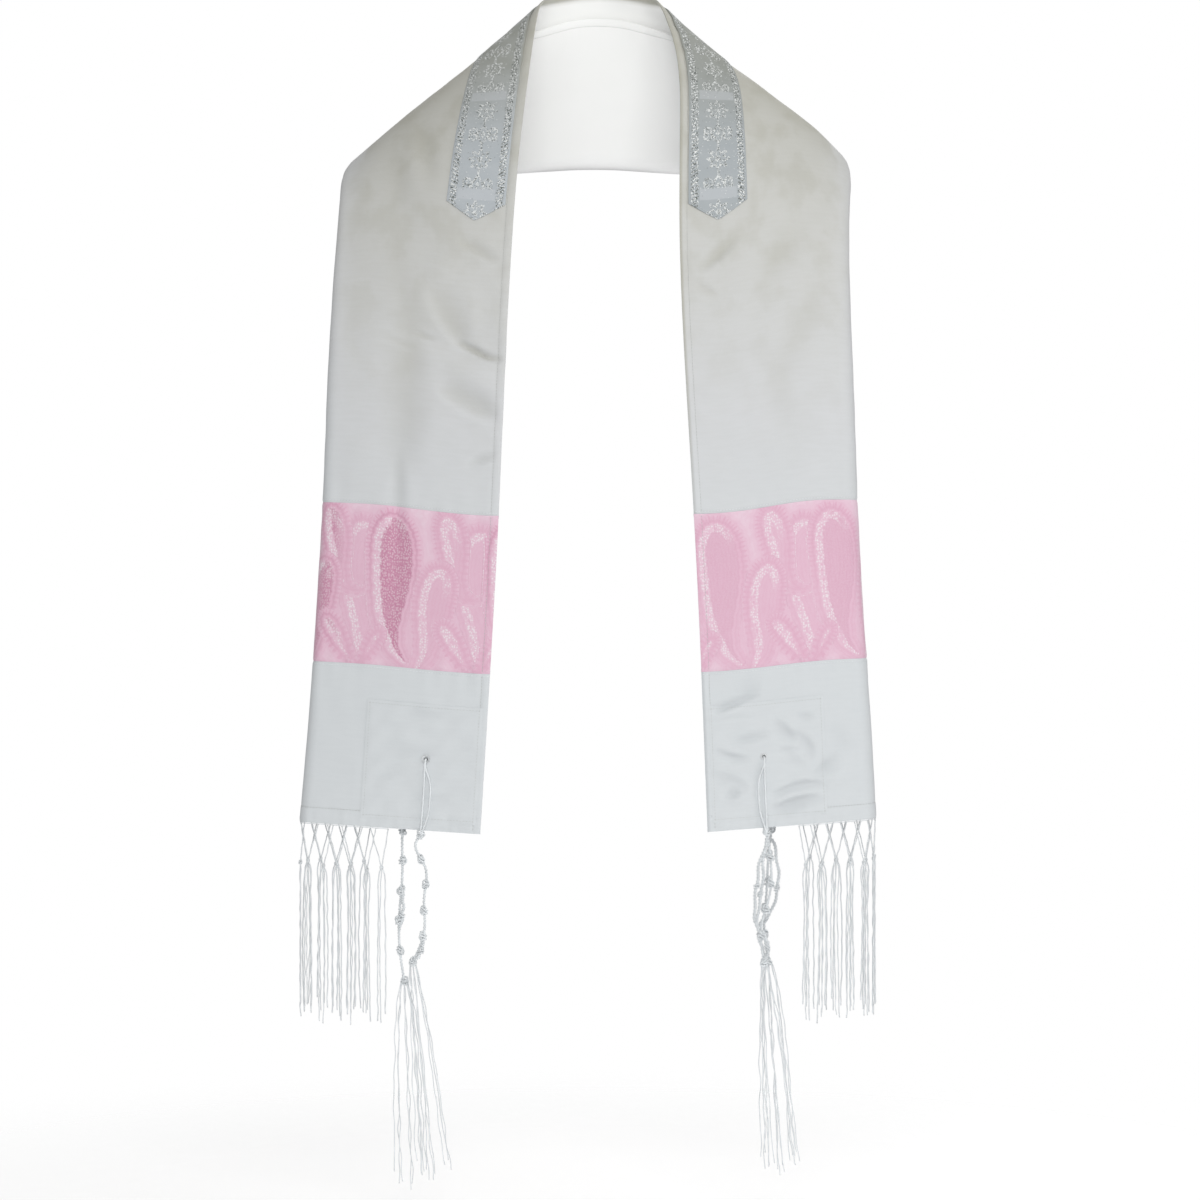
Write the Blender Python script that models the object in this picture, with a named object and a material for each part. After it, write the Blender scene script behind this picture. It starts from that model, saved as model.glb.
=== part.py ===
"""A tallit: a prayer shawl of ivory satin, folded once lengthwise and worn round the neck as a scarf.

The shawl is cut flat. A point of the flat cut is (along, across): along is measured from the middle of
the nape, negative towards the left hem and positive towards the right one, and across from the neck
edge in front, over the lengthwise fold, to the neck edge behind. A Strip holds the folded cloth as it
lies on a general figure, and a Section is one line across it, which carries flat points to their place.
Every panel, and everything sewn on one, is a flat grid carried over in that way.

Metres. +Z is up, the front faces -Y, and left and right are as seen from the front. The origin is
between the two neck edges, at the height where they cross the shoulders.
"""

import math

import bmesh
import bpy
import numpy as np
from mathutils import Vector

LEFT, RIGHT = -1, 1

# The flat cut.
HALF_LENGTH = 0.900
WIDTH = 0.331
END_HEIGHT = 0.145
BAND_HEIGHT = 0.143
SEAM = 0.0003

# Walls, and the lift that parts a sewn-on piece from the cloth below it.
CLOTH_WALL = 0.0016
TRIM_WALL = 0.0012
TRIM_LIFT = 0.0004

# The lengthwise fold: its radius, wider on the right front, and the layers' distance at the neck edge.
FOLD_RADIUS = 0.012
RIGHT_FOLD_RADIUS = 0.018
RIGHT_FOLD_FROM, RIGHT_FOLD_TO = 0.15, 0.40
NECK_EDGE_GAP = 0.008
MOST_SETBACK = 0.030

# The neckband, in distances from the front neck edge and from the nape.
ATARA_INSET = 0.008
ATARA_WIDTH = 0.0555
ATARA_CORNER = 0.329
ATARA_TIP = 0.345
ATARA_EDGE_ROW = 0.001

# The corner patches, from the neck edge and the hem, and their eyelets.
PATCH_INSET = 0.0045
PATCH_SIDE = 0.106
PATCH_RAISE = 0.008
EYELET_RAISE = 0.0645
EYELET_INSET = 0.0535
EYELET_RADIUS = 0.003
EYELET_SIDES = 12
EYELET_CUT_DEPTH = 0.008

# The fringe: where it stops short of the corners, its strip, its knots and its tails.
FRINGE_INSET = 0.084
STRIP_HEIGHT = 0.003
STRIP_WALL = 0.0024
KNOTS = 12
KNOT_DROP = 0.036
TAIL_LENGTH = 0.136
STRAND_RADIUS = 0.0009
ROOT_DEPTH = 0.0015
ROOT_SHARE = 0.34
KNOT_SPREAD = 0.0015
KNOT_STAGGER = 0.003
TAIL_SPREAD = 0.0016
TAIL_SWAY = 0.0022
TAIL_RAGGED = 0.006
TAIL_PARTS = (0.04, 0.3, 0.6, 1.0)

# The corner tassels.
CORD_RADIUS = 0.0011
LOOP_RADIUS = 0.0031
HEAD_RADIUS = 0.0021
HEAD_KNOT_RADIUS = 0.0036
HEAD_POINTS = 16
POINTS_PER_KNOT = 3
LOOP_STEPS = 8
LOOP_DROPS = (-0.038, -0.012, 0.002)
HEAD_TOP = 0.004
ENDS_RING = 0.00223
ENDS_ROOT_RISE = 0.001
ENDS_SPREAD = 0.0015
ENDS_HALF_WIDTH = 0.013
ENDS_HALF_DEPTH = 0.008
ENDS_RAGGED = 0.008
ENDS_SWAY = 0.003
STRAND_PARTS = (0.05, 0.2, 0.4, 0.6, 0.8, 1.0)
TASSEL_STRANDS = 8

# Lines across the folded strip, from the neck edge to the fold, at even shares of its width. The x of
# a point is its distance from the middle, to either side. Each row: neck edge, one third, two thirds,
# fold.
MIDDLE_BACK_LINE = (
    (0.000, 0.062, 0.028),
    (0.000, 0.078, -0.027),
    (0.000, 0.090, -0.083),
    (0.000, 0.096, -0.140),
)
SHOULDER_BLADE_LINE = (
    (0.042, 0.045, 0.020),
    (0.064, 0.062, -0.034),
    (0.097, 0.080, -0.088),
    (0.135, 0.080, -0.146),
)
RIDGE_LINE = {
    LEFT: (
        (0.057, 0.000, 0.000),
        (0.120, 0.000, -0.0525),
        (0.178, 0.000, -0.098),
        (0.240, 0.000, -0.151),
    ),
    RIGHT: (
        (0.058, 0.000, 0.000),
        (0.122, 0.000, -0.0535),
        (0.182, 0.000, -0.096),
        (0.236, 0.000, -0.148),
    ),
}
# Lines across the fronts, each a chord with a crown, which is how far its middle bows forward.
#    neck edge x, y, z         fold x, y, z            crown
FRONT_LINES = {
    LEFT: (
        (0.063, -0.042, -0.045, 0.244, -0.042, -0.182, 0.004),
        (0.071, -0.086, -0.120, 0.246, -0.068, -0.234, 0.005),
        (0.079, -0.112, -0.220, 0.249, -0.085, -0.310, 0.004),
        (0.090, -0.121, -0.450, 0.255, -0.092, -0.470, 0.003),
        (0.108, -0.114, -0.763, 0.275, -0.090, -0.753, 0.002),
    ),
    RIGHT: (
        (0.070, -0.042, -0.045, 0.236, -0.042, -0.182, 0.004),
        (0.073, -0.086, -0.120, 0.234, -0.068, -0.234, 0.005),
        (0.072, -0.112, -0.220, 0.234, -0.085, -0.310, 0.004),
        (0.083, -0.121, -0.450, 0.239, -0.092, -0.470, 0.003),
        (0.097, -0.114, -0.761, 0.255, -0.090, -0.750, 0.002),
    ),
}

# The largest soft folds: place of the middle in the flat cut, length, half width, depth (a ridge where
# negative) and slant, in degrees from straight across.
#    along  across length width  depth slant
SOFT_FOLDS = (
    (-0.462, 0.040, 0.050, 0.014, 0.0035, 8),
    (-0.510, 0.030, 0.035, 0.015, 0.0020, 15),
    (-0.340, 0.105, 0.045, 0.020, 0.0025, 60),
    (0.370, 0.105, 0.045, 0.018, 0.0025, -60),
    (0.560, 0.090, 0.060, 0.022, -0.0015, 80),
    (0.775, 0.035, 0.028, 0.012, 0.0018, -15),
)

# Corner tassels: side, layer, then the head's bends and last the strands' ends, each as (drop, shift)
# from just below the hem. shift is towards +X.
TASSELS = {
    "tassel_left_front": (
        LEFT,
        "front",
        ((0.006, -0.0045), (0.027, 0.0027), (0.056, 0.0027), (0.087, 0.0027), (0.115, -0.0077)),
        (0.302, 0.0117),
    ),
    "tassel_left_rear": (
        LEFT,
        "rear",
        ((0.020, 0.0000), (0.041, 0.0000), (0.066, -0.0020), (0.100, -0.0027), (0.136, 0.0018)),
        (0.316, 0.0150),
    ),
    "tassel_right_front": (
        RIGHT,
        "front",
        ((0.010, 0.0015), (0.024, 0.0025), (0.052, 0.0015), (0.083, -0.0010), (0.118, 0.0015)),
        (0.297, 0.0190),
    ),
    "tassel_right_rear": (
        RIGHT,
        "rear",
        ((0.012, -0.0020), (0.029, -0.0036), (0.058, -0.0050), (0.092, -0.0070), (0.121, -0.0030)),
        (0.306, 0.0060),
    ),
}

# Columns of the panels' grids, as distances from a neck edge: the neckband's and the far edge of the
# patches. All panels share them, so that their edges match at the seams.
ATARA_COLUMNS = [ATARA_INSET + ATARA_WIDTH * part / 4 for part in range(5)]
PATCH_FAR_EDGE = PATCH_INSET + PATCH_SIDE
MARKS = [0.0, *ATARA_COLUMNS, (ATARA_COLUMNS[-1] + PATCH_FAR_EDGE) / 2, PATCH_FAR_EDGE]
PATCH_COLUMNS = [PATCH_INSET, *MARKS[2:]]
FOLD_STEPS = 4

# The strip's table of points, and the short step that finds a direction on it.
SHARES = 25
STATIONS = 361
PROBE = 0.004
REACH = HALF_LENGTH + 0.010


def smooth(knots, values, at):
    """Natural cubic spline through values, one for each knot, read at the places in at."""
    knots, values, at = (np.asarray(given, float) for given in (knots, values, at))
    step = np.diff(knots)
    slope = np.diff(values, axis=0) / step[:, None]
    system = np.eye(len(knots))
    wanted = np.zeros_like(values)
    for i in range(1, len(knots) - 1):
        system[i, i - 1 : i + 2] = step[i - 1], 2 * (step[i - 1] + step[i]), step[i]
        wanted[i] = 6 * (slope[i] - slope[i - 1])
    bend = np.linalg.solve(system, wanted)
    i = np.clip(np.searchsorted(knots, at) - 1, 0, len(knots) - 2)
    span = step[i][:, None]
    before = (knots[i + 1] - at)[:, None] / span
    after = (at - knots[i])[:, None] / span
    curved = (before**3 - before) * bend[i] + (after**3 - after) * bend[i + 1]
    return before * values[i] + after * values[i + 1] + curved * span**2 / 6


def lengths(points):
    """The distance along a line of points, at each of them."""
    return np.concatenate(([0], np.cumsum(np.linalg.norm(np.diff(points, axis=0), axis=1))))


def eased(value):
    """0 to 1 with level ends, for a value that is clipped to that range."""
    value = np.clip(value, 0, 1)
    return value * value * (3 - 2 * value)


def front_line(row):
    """The four points of a line across a front, from its chord and crown."""
    neck, fold, bow = np.array(row[:3]), np.array(row[3:6]), np.array((0, -row[6], 0))
    return (neck, neck + (fold - neck) / 3 + bow, neck + (fold - neck) * 2 / 3 + bow, fold)


def lines_of(side):
    """The lines across one half of the shawl, from the shoulder blade to the hem."""
    lines = [SHOULDER_BLADE_LINE, RIDGE_LINE[side]] + [front_line(row) for row in FRONT_LINES[side]]
    return [np.array(line) * (side, 1, 1) for line in lines]


def fold_radius(along):
    opening = eased((along - RIGHT_FOLD_FROM) / (RIGHT_FOLD_TO - RIGHT_FOLD_FROM))
    return FOLD_RADIUS + (RIGHT_FOLD_RADIUS - FOLD_RADIUS) * opening


class Strip:
    """The outer face of the folded strip's front layer, as it lies on the figure."""

    def __init__(self):
        left, right = lines_of(LEFT), lines_of(RIGHT)
        self.lines = [*reversed(left), np.array(MIDDLE_BACK_LINE), *right]
        self.middle = len(left)
        self.stations = np.linspace(-REACH, REACH, STATIONS)
        self.shares = np.linspace(0, 1, SHARES)
        rows = [self.warp_line(share) for share in self.shares]
        self.points = np.stack(rows, axis=1)
        self.points += self.outward() * -self.fold_depths()[..., None]
        self.normals = self.outward()

    def warp_line(self, share):
        """The points at every station of the thread that lies at a share of the strip's width."""
        thirds = (0, 1 / 3, 2 / 3, 1)
        places = np.array([smooth(thirds, line, [share])[0] for line in self.lines])
        knots = lengths(places)
        spare = REACH - HALF_LENGTH
        fine = np.linspace(knots[0] - spare, knots[-1] + spare, 4 * STATIONS)
        curve = smooth(knots, places, fine)
        run = lengths(curve)
        hems_and_nape = np.interp((knots[0], knots[self.middle], knots[-1]), fine, run)
        left_hem, nape, right_hem = hems_and_nape
        parts = self.stations / HALF_LENGTH
        wanted = nape + np.where(parts < 0, parts * (nape - left_hem), parts * (right_hem - nape))
        return np.stack([np.interp(wanted, run, curve[:, axis]) for axis in range(3)], axis=1)

    def outward(self):
        """The unit normals of the outer face."""
        normals = np.cross(np.gradient(self.points, axis=0), np.gradient(self.points, axis=1))
        return normals / np.linalg.norm(normals, axis=2, keepdims=True)

    def fold_depths(self):
        """How far the soft folds press each point in."""
        across = self.shares * (WIDTH / 2)
        depths = np.zeros((STATIONS, SHARES))
        for middle, place, length, width, depth, slant in SOFT_FOLDS:
            turn = math.radians(slant)
            down = (self.stations - middle)[:, None]
            aside = (across - place)[None, :]
            lengthwise = aside * math.cos(turn) + down * math.sin(turn)
            crosswise = down * math.cos(turn) - aside * math.sin(turn)
            depths += depth * np.exp(-((lengthwise / length) ** 2) - (crosswise / width) ** 2)
        return depths

    def at(self, along):
        """The line of points across the strip at one place along it, and their normals."""
        index = (along + REACH) / (2 * REACH) * (STATIONS - 1)
        before = min(max(int(index), 0), STATIONS - 2)
        part = index - before
        points = self.points[before] * (1 - part) + self.points[before + 1] * part
        normals = self.normals[before] * (1 - part) + self.normals[before + 1] * part
        return points, normals / np.linalg.norm(normals, axis=1, keepdims=True)


class Section:
    """One line across the folded cloth, which carries distances across the flat cut to their place."""

    def __init__(self, strip, along):
        self.points, self.normals = strip.at(along)
        self.reach = lengths(self.points)
        self.radius = fold_radius(along)
        self.flat = self.reach[-1] - self.radius
        self.turned = self.flat + math.pi * self.radius
        # Where the shoulder draws the layers wider than they are cut, the rear edge still keeps near.
        setback = self.turned + self.flat - WIDTH
        self.end = self.turned + self.flat - min(setback, MOST_SETBACK)

    def read(self, table, distance):
        return np.array([np.interp(distance, self.reach, table[:, axis]) for axis in range(3)])

    def side(self):
        """The unit direction in which the front layer reaches the fold."""
        step = self.read(self.points, self.flat) - self.read(self.points, self.flat - PROBE)
        return step / np.linalg.norm(step)

    def place(self, across, lift=0.0):
        """The outer face of the cloth at a distance across the flat cut, moved out by lift."""
        if across <= self.flat:
            return self.read(self.points, across) + self.read(self.normals, across) * lift
        if across < self.turned:
            out = self.read(self.normals, self.flat)
            centre = self.read(self.points, self.flat) - out * self.radius
            angle = (across - self.flat) / self.radius
            spoke = out * math.cos(angle) + self.side() * math.sin(angle)
            return centre + spoke * (self.radius + lift)
        distance = self.flat - (across - self.turned)
        part = max(distance, 0) / self.flat
        depth = NECK_EDGE_GAP + (2 * self.radius - NECK_EDGE_GAP) * (1 - (1 - part) ** 2)
        return self.read(self.points, distance) - self.read(self.normals, distance) * (depth + lift)

    def columns(self):
        """Distances across the cut: the marks from each neck edge, and even steps round the fold."""
        marks = [*MARKS, (MARKS[-1] + self.flat) / 2]
        turns = steps(self.flat, self.turned, FOLD_STEPS)
        return [*marks, *turns, *(self.end - mark for mark in reversed(marks))]


def steps(start, stop, count):
    """Even steps from start to stop, with both ends."""
    return [start + (stop - start) * step / count for step in range(count + 1)]


def material(name, colour, roughness, metallic=0.0):
    made = bpy.data.materials.new(name)
    made.use_nodes = True
    shader = made.node_tree.nodes["Principled BSDF"]
    shader.inputs["Base Color"].default_value = (*colour, 1)
    shader.inputs["Roughness"].default_value = roughness
    shader.inputs["Metallic"].default_value = metallic
    return made


def add_object(name, mesh, finish, collection):
    made = bpy.data.objects.new(name, mesh)
    mesh.materials.append(finish)
    collection.objects.link(made)
    return made


def sheet(name, lines, lift, wall, finish, collection):
    """A cloth panel: a flat grid and its copy, carried to the outer and the inner face of its wall.

    lines holds a row for each line across the panel, with the section and the distance across the flat
    cut of each point. lift is how far the outer face stands off the cloth's own.
    """
    down, aside = len(lines) - 1, len(lines[0]) - 1
    shape = bmesh.new()
    bmesh.ops.create_grid(shape, x_segments=down, y_segments=aside, size=1)
    bmesh.ops.triangulate(shape, faces=shape.faces[:], quad_method="FIXED")
    copied = bmesh.ops.extrude_face_region(shape, geom=shape.faces[:])["geom"]
    inner = {element for element in copied if isinstance(element, bmesh.types.BMVert)}
    for vertex in shape.verts:
        row = round((vertex.co.x + 1) / 2 * down)
        column = round((vertex.co.y + 1) / 2 * aside)
        section, across = lines[row][column]
        vertex.co = section.place(across, lift - wall if vertex in inner else lift)
    bmesh.ops.recalc_face_normals(shape, faces=shape.faces[:])
    mesh = bpy.data.meshes.new(name)
    shape.to_mesh(mesh)
    shape.free()
    mesh.shade_smooth()
    mesh.set_sharp_from_angle(angle=math.radians(50))
    return add_object(name, mesh, finish, collection)


def panel_lines(strip, places):
    sections = [Section(strip, along) for along in places]
    return [[(section, across) for across in section.columns()] for section in sections]


def body_places():
    """Where the body's rows lie along one half, so that the neckband's own rows fall on them."""
    end = HALF_LENGTH - END_HEIGHT - BAND_HEIGHT
    return [*steps(0, ATARA_CORNER, 18), ATARA_TIP, *steps(ATARA_TIP, end, 13)[1:]]


def add_body(strip, finish, collection):
    half = body_places()
    places = [-along for along in reversed(half[1:])] + half
    return sheet("shawl_body", panel_lines(strip, places), 0, CLOTH_WALL, finish, collection)


def add_band(strip, side, name, finish, collection):
    low = HALF_LENGTH - END_HEIGHT - SEAM
    high = HALF_LENGTH - END_HEIGHT - BAND_HEIGHT + SEAM
    places = sorted(side * along for along in steps(high, low, 6))
    return sheet(name, panel_lines(strip, places), 0, CLOTH_WALL, finish, collection)


def patch_places():
    low = HALF_LENGTH - PATCH_RAISE
    return steps(low - PATCH_SIDE, low, 4)


def add_end(strip, side, name, finish, collection):
    places = [HALF_LENGTH - END_HEIGHT, *patch_places(), HALF_LENGTH]
    places = sorted(side * along for along in places)
    return sheet(name, panel_lines(strip, places), 0, CLOTH_WALL, finish, collection)


def add_atara(strip, finish, collection):
    """The neckband, which lies on the front layer along the neck edge and ends in a point each side."""
    half = steps(0, ATARA_CORNER, 18)
    lines = []
    for along in [-along for along in reversed(half[1:])] + half:
        section = Section(strip, along)
        lines.append([(section, across) for across in ATARA_COLUMNS])
    for side, line_at in ((LEFT, 0), (RIGHT, len(lines) + 1)):
        point = []
        for across in ATARA_COLUMNS:
            aside = abs(2 * (across - ATARA_INSET) / ATARA_WIDTH - 1)
            along = ATARA_TIP - (ATARA_TIP - ATARA_CORNER - ATARA_EDGE_ROW) * aside
            point.append((Section(strip, side * along), across))
        lines.insert(line_at, point)
    return sheet("atara", lines, TRIM_LIFT + TRIM_WALL, TRIM_WALL, finish, collection)


def layer_across(distance, layer):
    """The place across the flat cut of a distance from the neck edge of a layer."""
    return distance if layer == "front" else WIDTH - distance


def add_patch(strip, side, layer, name, finish, collection):
    columns = sorted(layer_across(distance, layer) for distance in PATCH_COLUMNS)
    sections = [Section(strip, along) for along in sorted(side * along for along in patch_places())]
    lines = [[(section, across) for across in columns] for section in sections]
    return sheet(name, lines, TRIM_LIFT + TRIM_WALL, TRIM_WALL, finish, collection)


def eyelet(strip, side, layer):
    """An eyelet's middle on the cloth, and the directions out of the cloth and up it."""
    across = layer_across(EYELET_INSET, layer)
    along = HALF_LENGTH - EYELET_RAISE
    middle = Section(strip, side * along).place(across)
    out = Section(strip, side * along).place(across, PROBE) - middle
    up = Section(strip, side * (along - PROBE)).place(across) - middle
    return middle, out / np.linalg.norm(out), up / np.linalg.norm(up)


def cut_eyelet(strip, side, layer, cloths, cutters):
    """Cuts the eyelet through the cloth and its patch."""
    middle, out, _ = eyelet(strip, side, layer)
    shape = bmesh.new()
    bmesh.ops.create_cone(
        shape,
        cap_ends=True,
        segments=EYELET_SIDES,
        radius1=EYELET_RADIUS,
        radius2=EYELET_RADIUS,
        depth=EYELET_CUT_DEPTH,
    )
    mesh = bpy.data.meshes.new("eyelet_cutter")
    shape.to_mesh(mesh)
    shape.free()
    cutter = bpy.data.objects.new("eyelet_cutter", mesh)
    cutter.rotation_mode = "QUATERNION"
    cutter.rotation_quaternion = Vector(out).to_track_quat("Z", "Y")
    cutter.location = middle
    cutter.hide_render = True
    cutter.display_type = "WIRE"
    cutters.objects.link(cutter)
    for cloth in cloths:
        cut = cloth.modifiers.new("eyelet", "BOOLEAN")
        cut.object = cutter
        cut.operation = "DIFFERENCE"


def tubes(name, paths, radius, sides_step, radii=None):
    """Closed tubes along paths, in one mesh. radii scales the radius at each point of the one path."""
    curve = bpy.data.curves.new(name, "CURVE")
    curve.dimensions = "3D"
    curve.bevel_depth = radius
    curve.bevel_resolution = sides_step
    curve.use_fill_caps = True
    for path in paths:
        spline = curve.splines.new("POLY")
        spline.points.add(len(path) - 1)
        for index, place in enumerate(path):
            spline.points[index].co = (*place, 1)
            spline.points[index].radius = radii[index] if radii else 1
    guide = bpy.data.objects.new(name, curve)
    bpy.context.scene.collection.objects.link(guide)
    graph = bpy.context.evaluated_depsgraph_get()
    mesh = bpy.data.meshes.new_from_object(guide.evaluated_get(graph))
    bpy.data.objects.remove(guide)
    shape = bmesh.new()
    shape.from_mesh(mesh)
    bmesh.ops.remove_doubles(shape, verts=shape.verts[:], dist=0.00001)
    bmesh.ops.recalc_face_normals(shape, faces=shape.faces[:])
    shape.to_mesh(mesh)
    shape.free()
    return mesh


def fuse(backing, mesh, cutters):
    """Joins loose strands to the backing that holds their roots."""
    strands = bpy.data.objects.new(f"{backing.name}_strands", mesh)
    strands.hide_render = True
    strands.display_type = "WIRE"
    cutters.objects.link(strands)
    union = backing.modifiers.new("roots", "BOOLEAN")
    union.object = strands
    union.operation = "UNION"


def add_fringe(strip, side, name, finish, collection, cutters):
    """The knotted fringe: a strip under the hem, from which pairs of strands run to a knot and hang."""
    top = HALF_LENGTH + SEAM
    section = Section(strip, side * top)
    lift = (STRIP_WALL - CLOTH_WALL) / 2
    pitch = (WIDTH - 2 * FRINGE_INSET) / KNOTS
    across = steps(FRINGE_INSET, WIDTH - FRINGE_INSET, KNOTS)
    sections = [Section(strip, along) for along in sorted((side * top, side * (top + STRIP_HEIGHT)))]
    lines = [[(line, place) for place in across] for line in sections]
    backing = sheet(name, lines, lift, STRIP_WALL, finish, collection)

    paths = []
    inner = -CLOTH_WALL / 2
    down = np.array((0, 0, -1.0))
    for knot in range(KNOTS):
        middle = FRINGE_INSET + pitch * (knot + 0.5)
        here = section.place(middle, inner)
        beside = section.place(middle + pitch / 2, inner) - here
        beside[2] = 0
        beside /= np.linalg.norm(beside)
        tied = here + down * (KNOT_DROP + KNOT_STAGGER * math.sin(2.1 * knot))
        for turn in (LEFT, RIGHT):
            root = section.place(middle + turn * pitch * ROOT_SHARE, inner) + down * ROOT_DEPTH
            sway = beside * TAIL_SWAY * math.sin(1.7 * knot + turn)
            apart = beside * turn * TAIL_SPREAD
            held = tied + beside * turn * KNOT_SPREAD
            tail = down * (TAIL_LENGTH + TAIL_RAGGED * math.sin(3.3 * knot + 2 * turn))
            fall = [held + (tail + apart) * part + sway * math.sin(3 * part) for part in TAIL_PARTS]
            paths.append([root, (root + held) / 2, held, *fall])
    fuse(backing, tubes(f"{name}_strands", paths, STRAND_RADIUS, 0), cutters)
    return backing


def tassel_loop(strip, side, layer, head_top):
    """The cord from the head up in front of the cloth, through the eyelet and down behind it."""
    middle, out, up = eyelet(strip, side, layer)
    rim = middle - up * EYELET_RADIUS
    turn = [
        rim + LOOP_RADIUS * (out * math.cos(angle) + up * math.sin(angle))
        for angle in steps(0, math.pi, LOOP_STEPS)
    ]
    across = layer_across(EYELET_INSET, layer)
    sections = [Section(strip, side * (HALF_LENGTH + drop)) for drop in LOOP_DROPS]
    before = [section.place(across, LOOP_RADIUS) for section in reversed(sections)]
    behind = [section.place(across, -LOOP_RADIUS) for section in sections]
    inside = head_top - np.array((0, 0, HEAD_TOP))
    apart = out * CORD_RADIUS / 2
    return [inside + apart, *before, *turn, *behind, inside - apart]


def head_path(top, bends):
    """The head's middle line, from its top through the bends."""
    drops = np.array([(0, 0), *bends])
    heights = np.linspace(0, drops[-1, 0], HEAD_POINTS)
    shifts = smooth(drops[:, 0], drops[:, 1:], heights)[:, 0]
    return [top + (shift, 0, -drop) for drop, shift in zip(heights, shifts)]


def loose_strands(top, low):
    """The strands' paths, from inside the head's last knot to their ragged ends round low."""
    paths = []
    for strand in range(TASSEL_STRANDS):
        angle = 2 * math.pi * strand / TASSEL_STRANDS
        spoke = np.array((math.cos(angle), math.sin(angle), 0))
        root = top + spoke * ENDS_RING
        end = low + spoke * (ENDS_HALF_WIDTH, ENDS_HALF_DEPTH, 0) * (1 + math.sin(2.3 * strand) / 4)
        end[2] += ENDS_RAGGED * math.sin(1.9 * strand)
        path = [root + (0, 0, ENDS_ROOT_RISE)]
        for part in STRAND_PARTS:
            sway = spoke * ENDS_SWAY * math.sin(3 * part + strand) * part * (1 - part)
            apart = spoke * ENDS_SPREAD * min(4 * part, 1)
            path.append(root + (end - root) * part + sway + apart)
        paths.append(path)
    return paths


def add_tassel(strip, name, finish, collection, cutters):
    """A corner tassel: a loop through the eyelet, a knotted head below the hem and loose strands."""
    side, layer, bends, (drop, shift) = TASSELS[name]
    across = layer_across(EYELET_INSET, layer)
    top = Section(strip, side * (HALF_LENGTH + HEAD_TOP)).place(across)
    path = head_path(top, bends)
    bulge = HEAD_KNOT_RADIUS / HEAD_RADIUS
    radii = [1 if index % POINTS_PER_KNOT else bulge for index in range(HEAD_POINTS)]
    head = tubes(name, [path], HEAD_RADIUS, 1, radii)
    head.shade_smooth()
    backing = add_object(name, head, finish, collection)
    loop = tubes(f"{name}_loop", [tassel_loop(strip, side, layer, top)], CORD_RADIUS, 0)
    fuse(backing, loop, cutters)
    ends = loose_strands(path[-1], top + (shift, 0, -drop))
    fuse(backing, tubes(f"{name}_ends", ends, STRAND_RADIUS, 0), cutters)
    return backing


def main():
    for thing in list(bpy.data.objects):
        bpy.data.objects.remove(thing)
    shawl = bpy.data.collections.new("tallit")
    cutters = bpy.data.collections.new("cutters")
    for collection in (shawl, cutters):
        bpy.context.scene.collection.children.link(collection)

    satin = material("ivory_satin", (0.64, 0.65, 0.64), 0.38)
    brocade = material("pink_brocade", (0.68, 0.44, 0.50), 0.55)
    silver = material("silver_brocade", (0.42, 0.45, 0.49), 0.40, 0.3)
    threads = material("white_threads", (0.80, 0.82, 0.83), 0.60)

    strip = Strip()
    add_body(strip, satin, shawl)
    add_atara(strip, silver, shawl)
    for side, word in ((LEFT, "left"), (RIGHT, "right")):
        add_band(strip, side, f"band_{word}", brocade, shawl)
        end = add_end(strip, side, f"end_{word}", satin, shawl)
        for layer in ("front", "rear"):
            patch = add_patch(strip, side, layer, f"patch_{word}_{layer}", satin, shawl)
            cut_eyelet(strip, side, layer, (end, patch), cutters)
        add_fringe(strip, side, f"fringe_{word}", threads, shawl, cutters)
    for name in TASSELS:
        add_tassel(strip, name, threads, shawl, cutters)


main()
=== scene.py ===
"""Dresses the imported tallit: satin, brocades, stitching, knotted fringe and corner tassels.

The shawl is cut flat. A point of the flat cut is (along, across): along runs from the middle of the
nape, negative towards the left hem and positive towards the right one, and across from the front neck
edge, over the lengthwise fold, to the rear neck edge. Drape carries such points to where they hang, so
every cloth, stitch and motif is laid out on the flat cut. Metres, +Z up, the fronts face -Y.
"""

import logging
import math
from dataclasses import dataclass, field
from enum import Enum
from typing import Any, Iterable, Sequence

import bmesh
import bpy
import numpy as np
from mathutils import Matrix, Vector


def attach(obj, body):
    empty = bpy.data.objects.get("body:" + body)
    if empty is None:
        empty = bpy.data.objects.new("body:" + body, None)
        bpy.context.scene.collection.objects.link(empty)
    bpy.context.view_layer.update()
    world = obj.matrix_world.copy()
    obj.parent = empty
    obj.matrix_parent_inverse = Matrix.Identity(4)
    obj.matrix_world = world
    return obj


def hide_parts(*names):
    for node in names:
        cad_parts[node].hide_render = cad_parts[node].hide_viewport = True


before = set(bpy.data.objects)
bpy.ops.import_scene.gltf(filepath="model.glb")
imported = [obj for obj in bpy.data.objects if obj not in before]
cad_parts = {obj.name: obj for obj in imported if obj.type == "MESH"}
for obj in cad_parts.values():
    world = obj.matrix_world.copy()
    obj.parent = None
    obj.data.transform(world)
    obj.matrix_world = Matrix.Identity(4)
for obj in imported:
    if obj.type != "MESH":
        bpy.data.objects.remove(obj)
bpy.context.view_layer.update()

logging.basicConfig(level=logging.INFO, format="%(message)s")
log = logging.getLogger("tallit")

Array = np.ndarray
Colour = tuple[float, float, float]
Place = tuple[float, float, float]
Settings = dict[str, Any] | None
Piece = bpy.types.Object
Material = bpy.types.Material
Random = np.random.Generator
BODY = "root"
CUT_MAP = "cut"


class Side(Enum):
    """A half of the shawl, as seen from the front."""

    LEFT = -1
    RIGHT = 1

    @property
    def word(self) -> str:
        """The side's word in the names of nodes."""
        return self.name.lower()


class Layer(Enum):
    """A layer of the folded cloth."""

    FRONT = "front"
    REAR = "rear"


CORNERS = [(side, layer) for side in Side for layer in Layer]


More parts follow.
